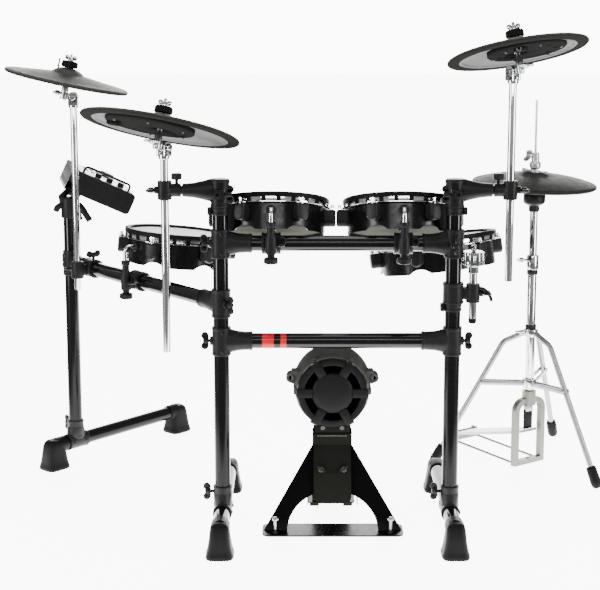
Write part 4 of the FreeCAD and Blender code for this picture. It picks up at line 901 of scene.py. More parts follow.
def tilter(name, head, place):
    """Tilter on its pivot, with the stem beside it, the rubber stopper and a wing nut spread along X."""
    rest = BELL_Z - 5.5
    metal, stop, nut = draw(), draw(), draw()
    lathe(metal, [(4.1, -8), (12.5, -8), (14, -6.5), (14, 6.5), (12.5, 8), (4.1, 8)], head @ TO_RIGHT, 48)
    box(metal, -7.8, 7.8, 7 - STEM_OFF, -8, -8, 8, head)
    lathe(metal, [(0, -12), (8.5, -12), (9.5, -11), (9.5, 20), (7, 26), (7, 38), (11, 40), (11, 42),
                  (0, 42)], place, 40)
    disc(metal, place, 4, 60, BELL_Z + 38, 24)
    wing_bolt(metal, place @ move(0, -9, 3) @ TO_FRONT @ QUARTER, 3)
    body = name + "_tilter"
    piece(name + " tilter", metal, STEEL, body, body, bevel=0.4)
    lathe(stop, [(0, 42), (12, 42), (13, 44), (13, 54), (6.5, rest), (0, rest)], place, 40)
    fluted_knob(stop, place @ move(0, 0, BELL_Z + 1.2), 22, 17.5, 18)
    piece(name + " stopper", stop, RUBBER, body)
    wings = place.to_3x3() @ BACK
    spread = Matrix.Rotation(-math.atan2(wings.y, wings.x), 4, "Z")
    wing_nut(nut, place @ move(0, 0, BELL_Z + 19) @ spread)
    piece(name + " wing nut", nut, CHROME, body, bevel=0.4)


def pole(name, foot_z, pivot_z, level):
    """Pole with a fork and a pin at the tilt pivot."""
    metal = draw()
    cylinder(metal, at(POLES[name], foot_z), at(POLES[name], pivot_z - 28), POLE_R)
    lathe(metal, [(0, -30), (11.5, -30), (13.2, -28), (13.2, -19), (12, -18), (0, -18)], level, 40)
    for side in (-1, 1):
        low, high = sorted((side * 8.3, side * 13.3))
        box(metal, low, high, -13, 13, -22, 0, level)
        disc(metal, level @ move(low, 0, 0) @ TO_RIGHT, 13.8, 0, 5, 48)
    lathe(metal, [(0, -15), (4, -15), (4, 14), (8, 14), (8, 20), (7, 21.5), (0, 21.5)], level @ TO_RIGHT, 28)
    piece(name + " pole", metal, CHROME, name + "_pole", name + "_pole", bevel=0.4)


# Drum pads: drawn from the top of the rim down, with the rod along local Y

def pad_place(top, yaw, lean, entry):
    return seat(top, yaw, lean) @ rotate("Z", entry - 90.0 - yaw)


def arch_floor(turn, radius):
    """Lower edge of a shell at an angle from a lug: level, with an arch under each lug."""
    share = math.tau / LUG_COUNT
    near = (turn + share / 2) % share - share / 2
    offset = radius * math.sin(near)
    if abs(offset) > ARCH_R:
        return -PAD_H
    return max(-PAD_H, ARCH_H - PAD_H - ARCH_R + math.sqrt(ARCH_R ** 2 - offset ** 2))


def shell_wall(bm, place, radius, top):
    """Open drum wall with arches along its lower edge, which slopes inwards."""
    inner, middle = radius - PAD_WALL, -40.0
    loops = []
    corners = ((inner, None), (radius, None), (radius, middle), (radius, top), (inner, top), (inner, middle))
    for r, level in corners:
        made = bmesh.ops.create_circle(bm, segments=288, radius=r)
        for vert in made["verts"]:
            z = level
            if level is None:
                z = arch_floor(math.atan2(vert.co.y, vert.co.x), radius) + (3.0 if r < radius else 0.0)
            vert.co = place @ Vector((vert.co.x, vert.co.y, z))
        loops.append(ring_edges(made))
    skin(bm, loops)


def stamp(bm, single, place):
    """Adds a finished drawing to another one at a placement."""
    bmesh.ops.transform(single, matrix=place, verts=single.verts)
    carrier = bpy.data.meshes.new("carrier")
    single.to_mesh(carrier)
    single.free()
    bm.from_mesh(carrier)
    bpy.data.meshes.remove(carrier)


def lug(bm, place, tip, root):
    """U-shaped tension lug along local X with a rounded face."""
    single = draw()
    outline = [(-LUG_HALF, -28.0), (LUG_HALF, -28.0)]
    for k in range(15):
        turn = math.pi * k / 14
        outline.append((LUG_HALF * math.cos(turn), -54.0 - LUG_HALF * math.sin(turn)))
    face = single.faces.new([single.verts.new((root, y, z)) for y, z in outline])
    grown = bmesh.ops.extrude_face_region(single, geom=[face])
    front = [g for g in grown["geom"] if isinstance(g, bmesh.types.BMFace)][0]
    bmesh.ops.translate(single, verts=front.verts, vec=(tip - root, 0, 0))
    bmesh.ops.bevel(single, geom=list(front.edges), offset=4.5, segments=4, profile=0.5, affect="EDGES",
                    material=-1)
    stamp(bm, single, place)


def drum_shell(name, place, head_r):
    outer = head_r + PAD_WALL
    wall, lugs, plate, socket = draw(), draw(), draw(), draw()
    shell_wall(wall, place, outer, -9.2)
    for k in range(LUG_COUNT):
        lug(lugs, place @ rotate("Z", 360 / LUG_COUNT * k), head_r + 31, outer - 1)
    lathe(plate, [(0, -28), (27, -28), (34, -74), (outer - 4, -74), (outer - 4, -78), (0, -78)], place, 96)
    bore = ROD_R + FIT
    lathe(socket, [(bore, outer - 40), (ROD_R + 5, outer - 40), (ROD_R + 5, outer - 2),
                   (ROD_R + 7, outer - 2), (ROD_R + 7, outer + 3), (ROD_R + 5, outer + 5),
                   (bore, outer + 5)], place @ move(0, 0, -ROD_DROP) @ TO_FRONT, 40)
    stem = place @ move(0, 18 - outer, 0)
    disc(socket, stem, 3.5, -80, -52, 16)
    fluted_knob(socket, stem @ move(0, 0, -92), 13, 12, 8)
    piece(name + " shell", wall, GLOSS, name, name + "_shell")
    piece(name + " lugs", lugs, NYLON, name)
    piece(name + " sensor floor", plate, PLATE, name)
    piece(name + " rod socket", socket, NYLON, name)


def drum_head(name, place, head_r):
    inner = head_r + PAD_WALL + 0.3
    mesh, cone = draw(), draw()
    lathe(mesh, [(0, -7.3), (head_r * 0.5, -7.35), (head_r, -7.5), (inner + 1.2, -7.8), (inner + 1.6, -8.6),
                 (inner + 1.6, -18), (inner + 5, -18), (inner + 5, -24), (inner, -24), (inner, -9),
                 (0, -8.9)], place, 128)
    lathe(cone, [(0, -28), (26, -28), (24, -25), (9, -10), (0, -9.2)], place, 40)
    piece(name + " mesh head", mesh, MESH, name, name + "_head")
    piece(name + " foam cone", cone, FOAM, name)


def drum_hoop(name, place, head_r):
    wall = head_r + 10
    outer = wall + 2
    bolt_r = head_r + 23
    steel, cover, bolts = draw(), draw(), draw()
    lathe(steel, [(wall, -26), (wall + 7.5, -26), (wall + 9, -25.2), (wall + 9, -24.3), (wall + 7.5, -23.5),
                  (wall + 3, -23.5), (outer, -22.5), (outer, -17), (wall + 3.2, -16), (wall + 3.2, -14),
                  (outer, -13), (outer, -4), (wall, -4)], place, 144)
    for k in range(LUG_COUNT):
        turn = place @ rotate("Z", 360 / LUG_COUNT * k)
        box(steel, wall + 1, bolt_r + 7, -9.5, 9.5, -26, -23.5, turn)
        lathe(bolts, [(0, -41), (3, -41), (3, -23.4), (6.3, -23.4), (6.3, -21.8), (4.6, -21.6), (4.6, -14.4),
                      (3.6, -13.6), (0, -13.6)], turn @ move(bolt_r, 0, 0), 20)
    lathe(cover, [(head_r + 2, -7.2), (wall - 0.2, -7.2), (wall - 0.2, -3.8), (wall + 2.2, -3.8),
                  (wall + 2.2, -12), (wall + 4.6, -12), (wall + 5.5, -11), (wall + 5.5, -3.6),
                  (wall + 4.4, -1.4), (outer, -0.2), (head_r + 6.5, 0), (head_r + 3.4, -1),
                  (head_r + 2.2, -3)], place, 144)
    for k in range(RIM_TABS):
        box(cover, wall + 2.2, wall + 4, -5, 5, -22.5, -12, place @ rotate("Z", 360 * (k + 0.5) / RIM_TABS))
    piece(name + " hoop", steel, CHROME, name, name + "_hoop", sharp=50)
    piece(name + " rim cover", cover, RUBBER, name, sharp=60)
    piece(name + " tension bolts", bolts, CHROME, name)


def drum(name, place, head_r):
    drum_shell(name, place, head_r)
    drum_head(name, place, head_r)
    drum_hoop(name, place, head_r)


def rod_corner():
    """Where a tom's rod turns down, in the pad's own frame."""
    return Vector((0, -(TOM_HEAD_R + PAD_WALL + ROD_GAP), -ROD_DROP))


def tom_rod(name, place, bar_z):
    corner = place @ rod_corner()
    level = (place.to_3x3() @ BACK).normalized()
    bm = draw()
    sweep(bm, bend_points(at(corner, bar_z - 28), corner, level, ROD_GAP + 30, 15), ROD_R, 24)
    piece(name + " rod", bm, CHROME, name, name + "_rod")


def tom_clamp(name, spot):
    """Sleeve on a bar along local X, with the upright barrel for the rod, a knob under it and a wing bolt."""
    casting, knobs = draw(), draw()
    sleeve(casting, spot @ TO_RIGHT, -23, 23, CLAMP_RING_R)
    box(casting, -13, 13, -36, -20, -16, 16, spot)
    upright = spot @ move(0, -CLAMP_REACH, 0)
    bore = ROD_R + FIT
    lathe(casting, [(bore, -24), (8.5, -24), (9.5, -23), (9.5, -21), (13.5, -18), (13.5, 17), (11, 24),
                    (9.5, 32), (9.5, 46), (11.5, 48.5), (11.5, 57), (10.5, 58), (bore, 58)], upright, 40)
    disc(knobs, upright, 9, -24.3, -30, 24)
    fluted_knob(knobs, upright @ move(0, 0, -43), 17.5, 14, 7)
    lathe(knobs, [(5, 0), (10, 0), (10.5, 1), (10.5, 9), (9, 11), (6, 11), (5, 9)],
          spot @ move(26, -24, 10) @ TO_FRONT, 32)
    wing_bolt(knobs, spot @ move(13.1, 12 - CLAMP_REACH, 2) @ TO_RIGHT, 2)
    body = name + "_clamp"
    piece(name + " clamp", casting, NYLON, body, body, bevel=0.8)
    piece(name + " clamp knobs", knobs, NYLON, body, bevel=0.4)


def tom(name, bar_point, bar_z, clamp_yaw, out, top_z, lean, entry):
    """Tom whose rod stands off a bar in the direction out; lean is a heading and an angle."""
    rod = bar_point + out * CLAMP_REACH
    corner = pad_place(Vector((0, 0, 0)), *lean, entry) @ rod_corner()
    place = pad_place(at(rod - corner, top_z), *lean, entry)
    drum(name, place, TOM_HEAD_R)
    tom_rod(name, place, bar_z)
    tom_clamp(name, seat(at(bar_point, bar_z), clamp_yaw))


def toms():
    for name, x in (("left_tom", -TOM_X), ("right_tom", TOM_X)):
        tom(name, RIGHT * x, UPPER_BAR_Z, 0, -BACK, TOM_TOP_Z, (0, TOM_LEAN), 90)
    base = FRONT_LEFT + (REAR_POST - FRONT_LEFT) * FLOOR_TOM_SHARE
    tom("floor_tom", base, SIDE_BAR_Z, BAR_YAW, BAR_OUT, FLOOR_TOM_TOP_Z, leaning(*FLOOR_TOM_LEAN),
        FLOOR_TOM_ENTRY)


def snare():
    tilt = math.degrees(math.atan(math.tan(math.radians(SNARE_LEAN)) / math.sqrt(2)))
    place = pad_place(SNARE_TOP, *leaning(-tilt, tilt), SNARE_ENTRY)
    drum("snare", place, SNARE_HEAD_R)
    ball = place @ Vector((0, -SNARE_ROD_LEN, -ROD_DROP))
    end = place @ Vector((0, 28 - SNARE_HEAD_R - PAD_WALL, -ROD_DROP))
    bm = draw()
    cylinder(bm, ball, end, ROD_R, 28)
    bmesh.ops.create_uvsphere(bm, u_segments=32, v_segments=20, radius=SNARE_BALL_R,
                              matrix=Matrix.Translation(ball))
    piece("snare rod", bm, CHROME, "snare", "snare_rod")
    snare_post(ball)
    snare_clamp(ball)


def snare_post(ball):
    """Upright post with a rubber tip, and the ribbed ball cup on top of it."""
    post, tip = draw(), draw()
    cylinder(post, at(ball, SNARE_POST_FOOT + 12), at(ball, ball.z - 17), POLE_R)
    lathe(tip, [(0, 0), (8, 0), (9.5, 2), (9.9, 5), (9.9, 11.8), (0, 11.8)],
          Matrix.Translation(at(ball, SNARE_POST_FOOT)), 32)
    cup = Matrix.Translation(ball)
    lathe(post, [(0, -38), (12, -38), (13, -37), (13, -22), (18, -19), (25, -17), (26, -16), (26, -8),
                 (25, -7), (11.6, -7), (0, -12)], cup, 56)
    lathe(post, [(11.6, 7), (25, 7), (26, 8), (26, 13), (24, 15), (0, 15), (0, 11.8)], cup, 56)
    for k in range(4):
        rib = cup @ rotate("Z", 208 + 42 * k)
        cylinder(post, rib @ Vector((19, 0, -17)), rib @ Vector((19, 0, 14)), 8.5, 28)
    wing_bolt(post, cup @ move(0, 0, 14), 3)
    # The snare post's darker chrome is painted shade for dark reflections
    piece("snare post", post, SHADED_CHROME, "snare_post", "snare_post", bevel=0.5)
    piece("snare post tip", tip, RUBBER, "snare_post")


def snare_clamp(ball):
    clamp, bolts = draw(), draw()
    offset = Vector((ball.x - POST_X, ball.y, 0))
    spot = seat(at(FRONT_RIGHT, SNARE_CLAMP_Z), turned(offset))
    grip = spot @ move(offset.length, 0, 0)
    sleeve(clamp, spot, -SNARE_CLAMP_HALF, SNARE_CLAMP_HALF, 25.5)
    box(clamp, 21, offset.length - 10, -12, 12, -14, 14, spot)
    pole_grip(clamp, bolts, grip)
    lever = ((14, -6, 14), (26, -9, 11), (36, -10, 2), (42, -10, -10), (44, -10, -18))
    sweep(bolts, [grip @ Vector(point) for point in lever], 6.5, 20, 0.6)
    piece("snare clamp", clamp, NYLON, "kit", "snare_clamp", bevel=0.8)
    piece("snare clamp bolt", bolts, NYLON, "kit", bevel=0.4)


# Kick pad: drawn along local Z from its front to its rear, with local Y downwards

def kick():
    place = seat(Vector((KICK_X, KICK_FRONT_Y, KICK_Z)), 0, 90)
    kick_housing(place)
    kick_ears(place)
    kick_pad(place)
    screws = draw()
    for side in (-1, 1):
        lathe(screws, [(0, 0), (4, 0), (4, 38), (8, 38), (8, 42), (6.5, 44.5), (4, 46), (0, 46)],
              move(KICK_X + side * ANCHOR_X, ANCHOR_Y, 0), 28)
    piece("kick anchor screws", screws, SATIN, "kit", "kick_anchor_screws", bevel=0.4)
    kick_stand_trim()


def kick_housing(place):
    """Hood that rises to the rear, its neck, and the spoked ring with a domed cap over a recess, whose bottom
    is a black disc of painted shade.
    """
    hood, neck, ring, recess = draw(), draw(), draw(), draw()
    lathe(hood, [(0, HOOD_START), (88, HOOD_START), (91, 17), (94, 24), (96, 36), (103, KICK_BACK - 1),
                 (102, KICK_BACK), (0, KICK_BACK)], place, 96)
    back = place.inverted()
    for vert in hood.verts:
        local = back @ vert.co
        share = (local.z - HOOD_START) / (KICK_BACK - HOOD_START)
        vert.co = place @ Vector((local.x * (1 - HOOD_DRAW_IN * share), local.y - HOOD_RISE * share, local.z))
    box(neck, -44, 44, 80, 107, 20, 62, place)
    piece("kick housing neck", neck, SHEET, "kit", bevel=0.8)
    lathe(ring, [(71, 13.5), (71, 2), (73, 0), (86, 0), (88, 3), (90, 10), (90.5, 13.5)], place, 96)
    lathe(ring, [(0, -5), (14, -4.8), (28, -4), (40, -2.4), (49, 0), (52, 3), (52, 13.5), (0, 13.5)],
          place, 96)
    for k in range(6):
        turn = place @ rotate("Z", 60 * k)
        box(ring, 50, 90, -11, 11, -2, 14, turn)
        box(hood, 90, 98, -8, 8, 18, 60, turn)
    piece("kick housing", hood, HOOD, "kit", "kick_housing", bevel=0.8)
    piece("kick front ring", ring, CAP, "kit", bevel=1.2)
    # Black disc at the bottom of the recess: painted shade
    lathe(recess, [(51, 14), (72, 14), (72, 12.5), (51, 12.5)], place, 96)
    piece("kick recess", recess, RECESS_SHADE, "kit")


def kick_ears(place):
    """Eyes with rubber bushes beside the housing."""
    ears, eyes = draw(), draw()
    for side in (-1, 1):
        box(ears, side * 82, side * 104, -51, -17, 30, 62, place)
        hook = place @ move(side * 104.0, -32.0, 0)
        lathe(ears, [(6, 30), (13, 30), (13, 62), (6, 62)], hook, 32)
        disc(eyes, hook, 5.9, 40, 52, 24)
    piece("kick ears", ears, HOOD, "kit", bevel=2.0)
    piece("kick ear bushes", eyes, RUBBER, "kit")


def kick_pad(place):
    rear = KICK_BACK + 0.3
    pad, edge = draw(), draw()
    lathe(edge, [(72, rear), (92, rear), (92, 90), (90, 93), (88, 94), (78, 94), (74, 92.5), (72, 90)],
          place, 96)
    lathe(pad, [(0, rear), (71.6, rear), (71.6, 88.5), (66, 90.6), (40, 92.4), (0, 93)], place, 96)
    piece("kick rubber edge", edge, RUBBER, "kit", "kick_head")
    piece("kick striking pad", pad, CLOTH, "kit")


def kick_stand_trim():
    """Front sheet of the kick stand, with its screws, thumb screws, and a thin pale strip that is a painted
    highlight along the flange edge.
    """
    slope = Vector((0, -0.904, 0.428))
    screws, thumbs, sheet = draw(), draw(), draw()
    for side in (-1, 1):
        cap_screw(screws, along(Vector((KICK_X + side * 24.0, 82.2, 248.0)), -BACK), 5.5)
        spot = along(Vector((KICK_X + side * 28.5, 73.5, 139.0)) + slope * 5.0, slope)
        lathe(thumbs, [(0, -1), (6, -1), (6, 5), (8.5, 7), (8.5, 13), (6, 15), (0, 15)], spot, 24)
        box(thumbs, -12, 12, -2.5, 2.5, 6, 15, spot @ rotate("Z", side * 35))
        wire_x = KICK_X + side * 62.0
        cylinder(thumbs, Vector((wire_x, 55, 92)), Vector((wire_x, 38, 60)), 1.6, 12)
    # Thin pale strip along the edge of the flange: a painted highlight
    box(screws, KICK_X - 38, KICK_X + 38, 92.6, 93.9, 222.0, 223.2)
    fall = Matrix.Rotation(math.pi - math.atan2(TONGUE_RUN, TONGUE_TOP.z), 4, "X")
    x_down = Matrix(((0, 0, 1, 0), (0, 1, 0, 0), (1, 0, 0, 0), (0, 0, 0, 1)))
    top = Matrix.Translation(TONGUE_TOP)
    rounded_bar(sheet, (-2, TONGUE), (4.2, 6.2), (-TONGUE_HALF, TONGUE_HALF), 14.0, top @ fall @ x_down)
    box(sheet, -TONGUE_HALF, TONGUE_HALF, -6.2, -1.0, 0, 52, top)
    piece("kick stand front sheet", sheet, SHEET, "kit", bevel=0.8)
    piece("kick stand screws", screws, ZINC, "kit")
    piece("kick stand thumb screws", thumbs, DARK_STEEL, "kit", bevel=0.6)


# Sound module: local X runs down the slope of its face, and Y along it

def module():
    place = Matrix.Translation(MODULE_HINGE) @ rotate("Z", MODULE_YAW) @ rotate("Y", MODULE_SLOPE)
    module_case(place)
    module_controls(place)
    module_holder()


def module_case(place):
    """Case with its face, the panel along the rear edge and the lugs of the hinge."""
    (x0, x1), (y0, y1), (z0, z1) = MODULE_X, MODULE_Y, MODULE_Z
    split = x0 + PANEL_D
    case, panel, face = draw(), draw(), draw()
    rounded_bar(case, (split, x1), (y0, y1), (z0, z1 - 0.8), 11.0, place)
    box(case, x0 + 1, split, y0, y0 + 6, z0, z1 - 12.2, place)
    box(case, x0 + 1, split, y1 - 6, y1, z0, z1 - 12.2, place)
    box(case, x0 + 1, split, y0, y1, z0, z0 + 7.8, place)
    for side in (-17, 17):
        box(case, -10, 10, side - 5, side + 5, -10, z0 + 1, place)
    box(face, split, x1 - 14, y0 + 9, y1 - 7, z1 - 0.7, z1 + 0.2, place)
    box(panel, x0, split - 0.5, y0, y1, z1 - 12, z1, place)
    box(panel, x0, split - 0.5, y0 + 6.2, y1 - 6.2, z0 + 8, z1 - 12, place)
    piece("module face", face, SILVER, "module")
    piece("module case", case, NYLON, "module", "module_case", bevel=3.0)
    piece("module panel", panel, PANEL, "module", "module_panel", bevel=3.0)


def module_controls(place):
    """Guard rail, sockets, knobs, keys, screen and dial."""
    (x0, x1), (y0, _), (z0, z1) = MODULE_X, MODULE_Y, MODULE_Z
    rail, jacks, knobs, screen, dial = draw(), draw(), draw(), draw(), draw()
    high = z1 + 19
    bow = ((x0 + 33, z1), (x0 + 33, z1 + 12), (x0 + 36, high - 2), (x0 + 42, high), (x1 - 34, high),
           (x1 - 28, high - 2), (x1 - 25, z1 + 12), (x1 - 25, z1))
    sweep(rail, [place @ Vector((x, y0 + 12, z)) for x, z in bow], 3.5, 16)
    for k in range(7):
        spot = place @ move(x0 - 0.4, y0 + 40 + 30 * k, z0 + 30) @ TO_RIGHT
        lathe(jacks, [(3, 0), (6.2, 0), (6.2, 3), (3, 3)], spot, 24)
    for k in range(3):
        fluted_knob(knobs, place @ move(x0 + 78 + 34 * k, y0 + 34, z1), 9.5, 13, 12)
    for row in range(3):
        for column in range(5):
            x, y = x0 + 46 + 20 * row, y0 + 132 + 21 * column
            box(knobs, x, x + 11, y, y + 14, z1 - 1, z1 + 1.6, place)
    box(screen, x0 + 42, x0 + 84, y0 + 58, y0 + 120, z1 - 1, z1 + 0.6, place)
    fluted_knob(dial, place @ move(x0 + 118, y0 + 200, z1 + 0.3), 22, 13, 24)
    piece("module rail", rail, GLOSS, "module", slot="joint_black")
    piece("module jacks", jacks, NYLON, "module")
    piece("module knobs", knobs, NYLON, "module", bevel=0.5)
    piece("module screen", screen, GLASS, "module", bevel=0.4)
    piece("module dial", dial, NYLON, "module_dial", "module_dial", bevel=0.6, slot="shell_black")


# Points of the levers and the strut round the top of the rear post
HOLDER_LEVERS = (((-714, 556, 752), (-702, 548, 742), (-692, 545, 726), (-681, 545, 708)),
                 ((-716, 556, 748), (-716, 548, 736), (-714, 545, 722), (-708, 545, 710)),
                 ((-758, 552, 752), (-766, 546, 750), (-772, 544, 745), (-776, 544, 736)),
                 ((-756, 552, 756), (-760, 560, 776), (-750, 575, 786), (-738, 590, 782)))


def module_holder():
    """Cap on the rear post, with an arm to the hinge and levers."""
    holder = draw()
    top, outer, bore = REAR_POST_TOP, SLEEVE_R + 1, TUBE_R + FIT
    lathe(holder, [(bore, top - 52), (SLEEVE_R, top - 52), (outer, top - 51), (outer, top + 3),
                   (outer - 3, top + 6), (0, top + 6), (0, top + 0.5), (bore, top + 0.5)],
          Matrix.Translation(REAR_POST), 48)
    offset = at(MODULE_HINGE - REAR_POST, 0)
    bridge = seat(at(REAR_POST, MODULE_HINGE.z - 22), turned(offset))
    box(holder, 20, offset.length - 4, -9, 9, -13, 3, bridge)
    knuckle = seat(MODULE_HINGE, MODULE_YAW)
    box(holder, -8.8, 8.8, -11.5, 11.5, -32, 0, knuckle)
    disc(holder, knuckle @ TO_REAR, 9, -11.5, 11.5, 32)
    disc(holder, knuckle @ TO_REAR, 4, -25, 25, 20)
    for lever in HOLDER_LEVERS:
        sweep(holder, [Vector(point) for point in lever], 11.0, 20, 0.8)
    piece("module holder", holder, NYLON, "kit", "module_holder", bevel=0.6)


# Hi-hat

def hihat():
    base = Matrix.Translation(HAT)
    hihat_tubes(base)
    hihat_legs()
    hihat_seat(base)
    hihat_pad()
    hihat_rod(base)
    hihat_strap()


def hihat_tubes(base):
    tubes, sleeves, collars = draw(), draw(), draw()
    top = HAT_SPLIT_Z
    bore = HAT_UPPER_R + FIT
    cylinder(tubes, at(HAT, 176), at(HAT, top - 30), HAT_LOWER_R)
    cylinder(tubes, at(HAT, top - 120), at(HAT, HAT_SEAT_Z), HAT_UPPER_R)
    lathe(tubes, [(bore, top - 44), (13.5, top - 44), (17, top - 41), (17, top - 3), (15, top), (bore, top)],
          base, 40)
    wing_bolt(tubes, base @ move(0, 0, top - 16) @ TO_LEFT @ move(0, 0, 16), 10)
    bore = HAT_LOWER_R + FIT
    for z in (top - 56, HAT_COLLAR_Z + 11):
        lathe(sleeves, [(bore, z), (15, z), (15.5, z + 1), (15.5, z + 11), (15, z + 12), (bore, z + 12)],
              base, 40)
    for z, half in ((HAT_COLLAR_Z, 11), (HAT_BRACE_Z, 13)):
        barrel(collars, base, bore, 21, z - half, z + half, 2)
    wing_bolt(collars, seat(at(HAT, HAT_COLLAR_Z + 3), 205) @ TO_RIGHT @ move(0, 0, 18), 8)
    piece("hi-hat tubes", tubes, CHROME, "kit", "hihat_tubes", bevel=0.4)
    piece("hi-hat clamp sleeves", sleeves, NYLON, "kit")
    piece("hi-hat collars", collars, CHROME, "kit", "hihat_legs", bevel=0.4)


def hihat_legs():
    tubes, boots, braces = draw(), draw(), draw()
    for k in range(3):
        out = heading(HAT_LEG_HEADING + 120 * k)
        level = Vector((-out.y, out.x, 0))
        corner, tip = [at(HAT + out * reach, z) for reach, z in (HAT_LEG_BEND, HAT_LEG_TIP)]
        run = (tip - corner).normalized()
        length = (tip - corner).length
        sweep(tubes, bend_points(at(HAT + out * 20, HAT_COLLAR_Z - 1), corner, run, length, 30), 8.0, 24)
        foot = along(tip, run)
        lathe(boots, [(8.2, -36), (12, -36), (13.5, -34), (14, -20), (15, 6), (14.5, 14), (12, 20),
                      (7.5, 24.5), (0, 25.5), (0, 0.3), (8.2, 0.3)], foot, 36)
        for ridge in (-28, -20, -12):
            lathe(boots, [(13.4, ridge), (15, ridge + 1), (15, ridge + 3), (13.4, ridge + 4)], foot, 36)
        knee = corner + run * (length * HAT_KNEE)
        root = at(HAT + out * 20, HAT_BRACE_Z)
        turn = (knee - root).normalized().to_track_quat("X", "Z").to_matrix().to_4x4()
        for side in (-10.5, 10.5):
            bar = Matrix.Translation(root + level * side) @ turn
            box(braces, 0, (knee - root).length + 3, -1.5, 1.5, -6, 6, bar)
        for pin in (knee, root):
            cylinder(braces, pin - level * 13, pin + level * 13, 3.5, 20)
    piece("hi-hat legs", tubes, SATIN, "kit")
    piece("hi-hat leg boots", boots, RUBBER, "kit")
    piece("hi-hat braces", braces, SATIN, "kit", bevel=0.4)


def hihat_seat(base):
    bm = draw()
    low = HAT_SEAT_Z - 14
    bore = HAT_UPPER_R + FIT
    lathe(bm, [(bore, low), (14, low), (15, low + 1), (15, low + 15), (22, low + 19), (29, low + 24),
               (31, low + 30), (31, low + 45), (29, low + 49), (26, low + 50), (5.5, low + 50),
               (5.5, low + 14.3), (bore, low + 14.3)], base, 56)
    piece("hi-hat sensor cup", bm, NYLON, "kit", "hihat_seat")


def hihat_pad():
    radius, bow, top = HAT_R, 24.0, 33.0
    place = seat(at(HAT, HAT_BELL_Z), *leaning(*HAT_LEAN)) @ move(0, 0, -top)
    bell = [(8, top), (18, top - 0.6), (30, top - 3), (40, top - 6), (50, bow - 0.4)]
    bowed = [(r, bow * (1 - (r / radius) ** 2.4)) for r in range(60, 160, 10)]
    rim = [(radius - 10, 3), (radius - 4, 1.2), (radius - 1, -1), (radius, -4), (radius - 0.5, -7),
           (radius - 4, -9.6)]
    under = [(radius - 16, -8), (radius * 0.6, bow * 0.6 - 8), (50, bow - 8), (22, top - 10), (8, top - 10)]
    bm = draw()
    lathe(bm, bell + bowed + rim + under, place, 128)
    piece("hi-hat pad skin", bm, HAT_SKIN, "hihat_rod", "hihat_pad", sharp=50)


def hihat_rod(base):
    """Pull rod with its clutch, the felt, and the wing nut on the bell of the pad."""
    top, bore = HAT_BELL_Z, HAT_ROD_R + 0.1
    metal, clutch, felt = draw(), draw(), draw()
    cylinder(metal, at(HAT, 158), at(HAT, HAT_ROD_TOP), HAT_ROD_R, 20)
    lathe(metal, [(bore, top - 20), (13, top - 20), (13, top - 12), (6.5, top - 11.6), (6.5, top + 1),
                  (bore, top + 1)], base, 32)
    lathe(clutch, [(bore, top + 8), (14, top + 8), (16, top + 10), (16, top + 22), (14, top + 24),
                   (11, top + 26), (11, top + 49), (9.5, top + 51), (bore, top + 51)], base, 32)
    wing_bolt(clutch, seat(at(HAT, top + 43), 195) @ TO_RIGHT @ move(0, 0, 9) @ rotate("Z", 50), 5)
    nut = seat(at(HAT, top - 5), -12) @ move(0, -15, 0) @ rotate("Y", 8)
    disc(clutch, nut, 13, 1, 9, 32)
    for side in (-1, 1):
        box(clutch, side * 10, side * 30, -4, 4, 1, 8, nut)
        disc(clutch, nut @ move(side * 30, 0, 0), 7, 1, 10, 24)
    lathe(felt, [(bore, top + 5), (12.5, top + 5), (13, top + 6), (13, top + 7), (12.5, top + 8),
                 (bore, top + 8)], base, 32)
    piece("hi-hat pull rod", metal, SHADED_CHROME, "hihat_rod", "hihat_rod", bevel=0.3)
    # The clutch's pale colour is a painted bright reflection on its chrome
    piece("hi-hat clutch", clutch, BRIGHTENED_CHROME, "hihat_rod", bevel=0.4)
    piece("hi-hat felt", felt, FOAM, "hihat_rod")


def hihat_strap():
    strap, swivel = draw(), draw()
    spot = seat(HAT, yaw_of(heading(PEDAL_HEADING)))
    box(strap, -16, 16, 0, 4, STRAP_LOW_Z, 160, spot)
    box(swivel, -13, 13, -5, 8, 155, 173, spot)
    piece("hi-hat strap swivel", swivel, SATIN, "hihat_rod", bevel=1.0)
    piece("hi-hat strap", strap, RUBBER, "hihat_rod", bevel=0.6)


# Pieces that keep their CAD shape

def kept_nodes():
    for name, mat in (("kick_stand", STAND), ("hihat_frame", CAST), ("hihat_footboard", PLATED)):
        mesh = nodes[name].data
        mesh.materials.clear()
        mesh.materials.append(mat)
        soften = nodes[name].modifiers.new("soft edges", "BEVEL")
        soften.width = 0.8 * MM
        soften.segments = 2
        soften.limit_method = "ANGLE"
        soften.angle_limit = math.radians(40)


# Floor, light and camera, in metres

FLOOR_HALF = 30.0
# The floor glows pale under and behind the kit, which is painted light, and outside that patch it is dark
# grey, which is painted shade
FLOOR_GLOW = 8.0
DARK_GLOW = 0.1
BACK_GLOW = 11.0
FRONT_GLOW = 0.5
PAPER = (0.9, 0.9, 0.9)
FLOOR_PAINTED_SHADE = (0.05, 0.05, 0.05)
FADE_Y = (-0.75, -0.42)      # the glowing pale patch begins between these; in front of it the floor is painted dark grey shade
GLOW_HALF = 0.85            # half width of the glowing patch at Y 0
GLOW_SPREAD = 0.25          # its growth with Y
GLOW_FADE = 0.6
BACK_Y = (0.78, 0.93)        # the surroundings turn white between these directions
STRIP_POWER = 110.0
FRONT_POWER = 40.0
TOP_POWER = 110.0


